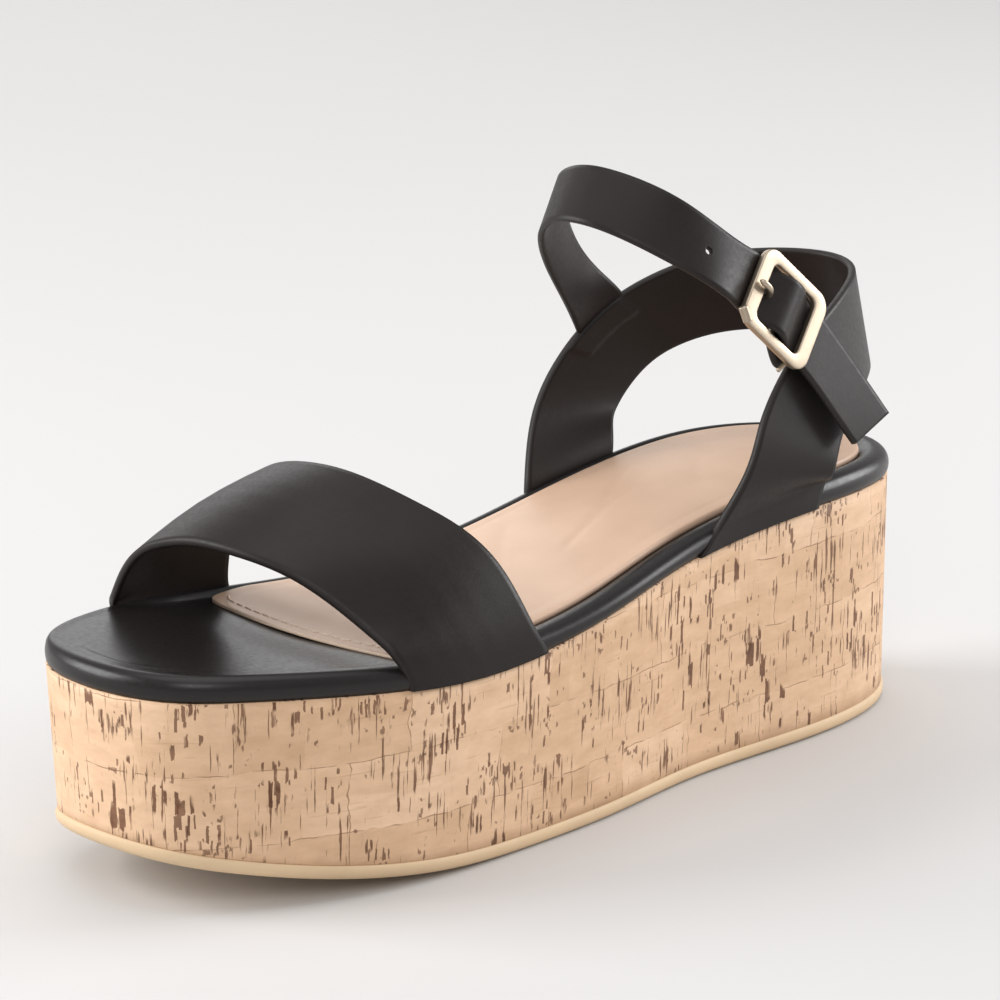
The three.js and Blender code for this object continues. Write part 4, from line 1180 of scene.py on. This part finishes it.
# Punched hole in the ankle strap
HOLE_FROM_BUCKLE = 26.4
HOLE_RADIUS = 0.95
PUNCH_REACH = (-4, -1, 1, 4)
search = np.linspace(0.5, 0.7, 400)
past_buckle = (ankle_shape(search, 0.5 + 0 * search) - buckle_centre) @ lengthwise
hole_share = float(np.interp(-HOLE_FROM_BUCKLE, past_buckle, search))
hole_centre = ankle_shape([hole_share], [0.5])[0]
hole_axis = ankle_shape.normal([hole_share], [0.5])[0]
punch_line = [hole_centre + hole_axis * n for n in PUNCH_REACH]
points, faces = tube(punch_line, [HOLE_RADIUS] * len(punch_line), 20)
punch = mesh_object("punch", points, faces, [edge_leather])
cut = ankle.modifiers.new("hole", "BOOLEAN")
cut.operation = "DIFFERENCE"
cut.solver = "EXACT"
cut.object = punch
bpy.context.view_layer.update()
evaluated = ankle.evaluated_get(bpy.context.evaluated_depsgraph_get())
holed = bpy.data.meshes.new_from_object(evaluated)
ankle.modifiers.clear()
ankle.data = holed
bpy.data.objects.remove(punch)

# Stitches along the insole's front edge. The row starts and ends a little past it.
STITCH_INSET = 3.4
STITCH_PITCH = 3.3
STITCH_LENGTH = 2.3
STITCH_RADIUS = 0.24
STITCH_RISE = 0.06
FIRST_STITCH = 0.5
SEAM_PAST = 2
seam_plan = insole_plan(sock_offset - STITCH_INSET)
seam_plan[:, 0] -= STITCH_INSET * smoothstep(seam_plan[:, 0], 52, 58)
seam_plan = seam_plan[HALF - SEAM_PAST:HALF + FRONT_STEPS + SEAM_PAST + 1]
seam_points = raised(seam_plan, sock_height(seam_plan) + STITCH_RISE)
seam_lengths = travelled(seam_points)
stitches = []
for start in np.arange(FIRST_STITCH, seam_lengths[-1] - STITCH_LENGTH, STITCH_PITCH):
    ends = [[np.interp(place, seam_lengths, seam_points[:, k]) for k in range(3)]
            for place in (start, start + STITCH_LENGTH)]
    stitches.append(rod_between(*ends, STITCH_RADIUS))
points, faces = joined(stitches)
add_piece(mesh_object("insole_stitches", points, faces, [thread]), "insole")

# Floor. It lies just below the sole, so that the two don't share a plane.
FLOOR_SIZE = 6.0
FLOOR_DROP = 0.0003
FLOOR_COLOUR = (0.630, 0.622, 0.618)
FLOOR_SHADE = 0.99

floor_material, tree, shader = new_material("pale_floor")
shade = tuple(FLOOR_SHADE * c for c in FLOOR_COLOUR)
floor_tone = ramp(tree, noise(tree, object_place(tree), 3, 2), [(0.3, FLOOR_COLOUR), (0.7, shade)])
set_values(tree, shader, Base_Color=floor_tone, Roughness=0.8, Specular_IOR_Level=0.05)
bpy.ops.mesh.primitive_plane_add(size=FLOOR_SIZE, location=(0, 0, -FLOOR_DROP))
floor = bpy.context.active_object
floor.name = "floor"
floor.data.materials.append(floor_material)

# Light: name, place, width and height in metres, and power in watts
LIGHTS = [
    ("overhead", (0.0, 0.0, 1.5), (1.3, 1.3), 6.8),
    ("left", (0.95, -0.80, 0.62), (0.8, 0.8), 17),
    ("right", (-1.1, 0.42, 0.42), (0.6, 0.6), 10),
    ("front", (1.1, 1.3, 1.3), (0.9, 0.9), 9.6),
    ("back", (-0.6, -1.1, 0.55), (0.8, 0.6), 2.1),
]
LIGHT_TARGET = Vector((0, 0, 0.05))
WORLD_COLOUR = (1.0, 0.995, 0.99)
WORLD_STRENGTH = 0.48

world = bpy.data.worlds.new("studio")
scene.world = world
world.use_nodes = True
background = world.node_tree.nodes["Background"]
set_values(world.node_tree, background, Color=WORLD_COLOUR, Strength=WORLD_STRENGTH)
for name, place, size, power in LIGHTS:
    data = bpy.data.lights.new(name, "AREA")
    data.shape = "RECTANGLE"
    data.size, data.size_y = size
    data.energy = power
    lamp = new_object(name, data)
    lamp.location = place
    lamp.rotation_mode = "QUATERNION"
    lamp.rotation_quaternion = (LIGHT_TARGET - Vector(place)).to_track_quat("-Z", "Y")
scene.view_settings.view_transform = "Standard"

# Camera: the photograph's place and lens, turned to the shoe's middle, with a lens longer by FILL
SENSOR = 36.0
LENS = 136.16748
FILL = 1.38
CAMERA_PLACE = Vector((0.80543, 0.86765, 0.41256))
SHOE_MIDDLE = Vector((0.0005, 0.0005, 0.070))

camera_data = bpy.data.cameras.new("camera")
camera_data.sensor_width = SENSOR
camera_data.lens = LENS * FILL
camera_data.clip_start = 0.05
camera_data.clip_end = 20
forward = (SHOE_MIDDLE - CAMERA_PLACE).normalized()
right = forward.cross(Vector((0, 0, 1))).normalized()
up = right.cross(forward)
camera = new_object("camera", camera_data)
turn = Matrix((right, up, -forward)).transposed().to_4x4()
camera.matrix_world = Matrix.Translation(CAMERA_PLACE) @ turn
bpy.context.scene.camera = camera
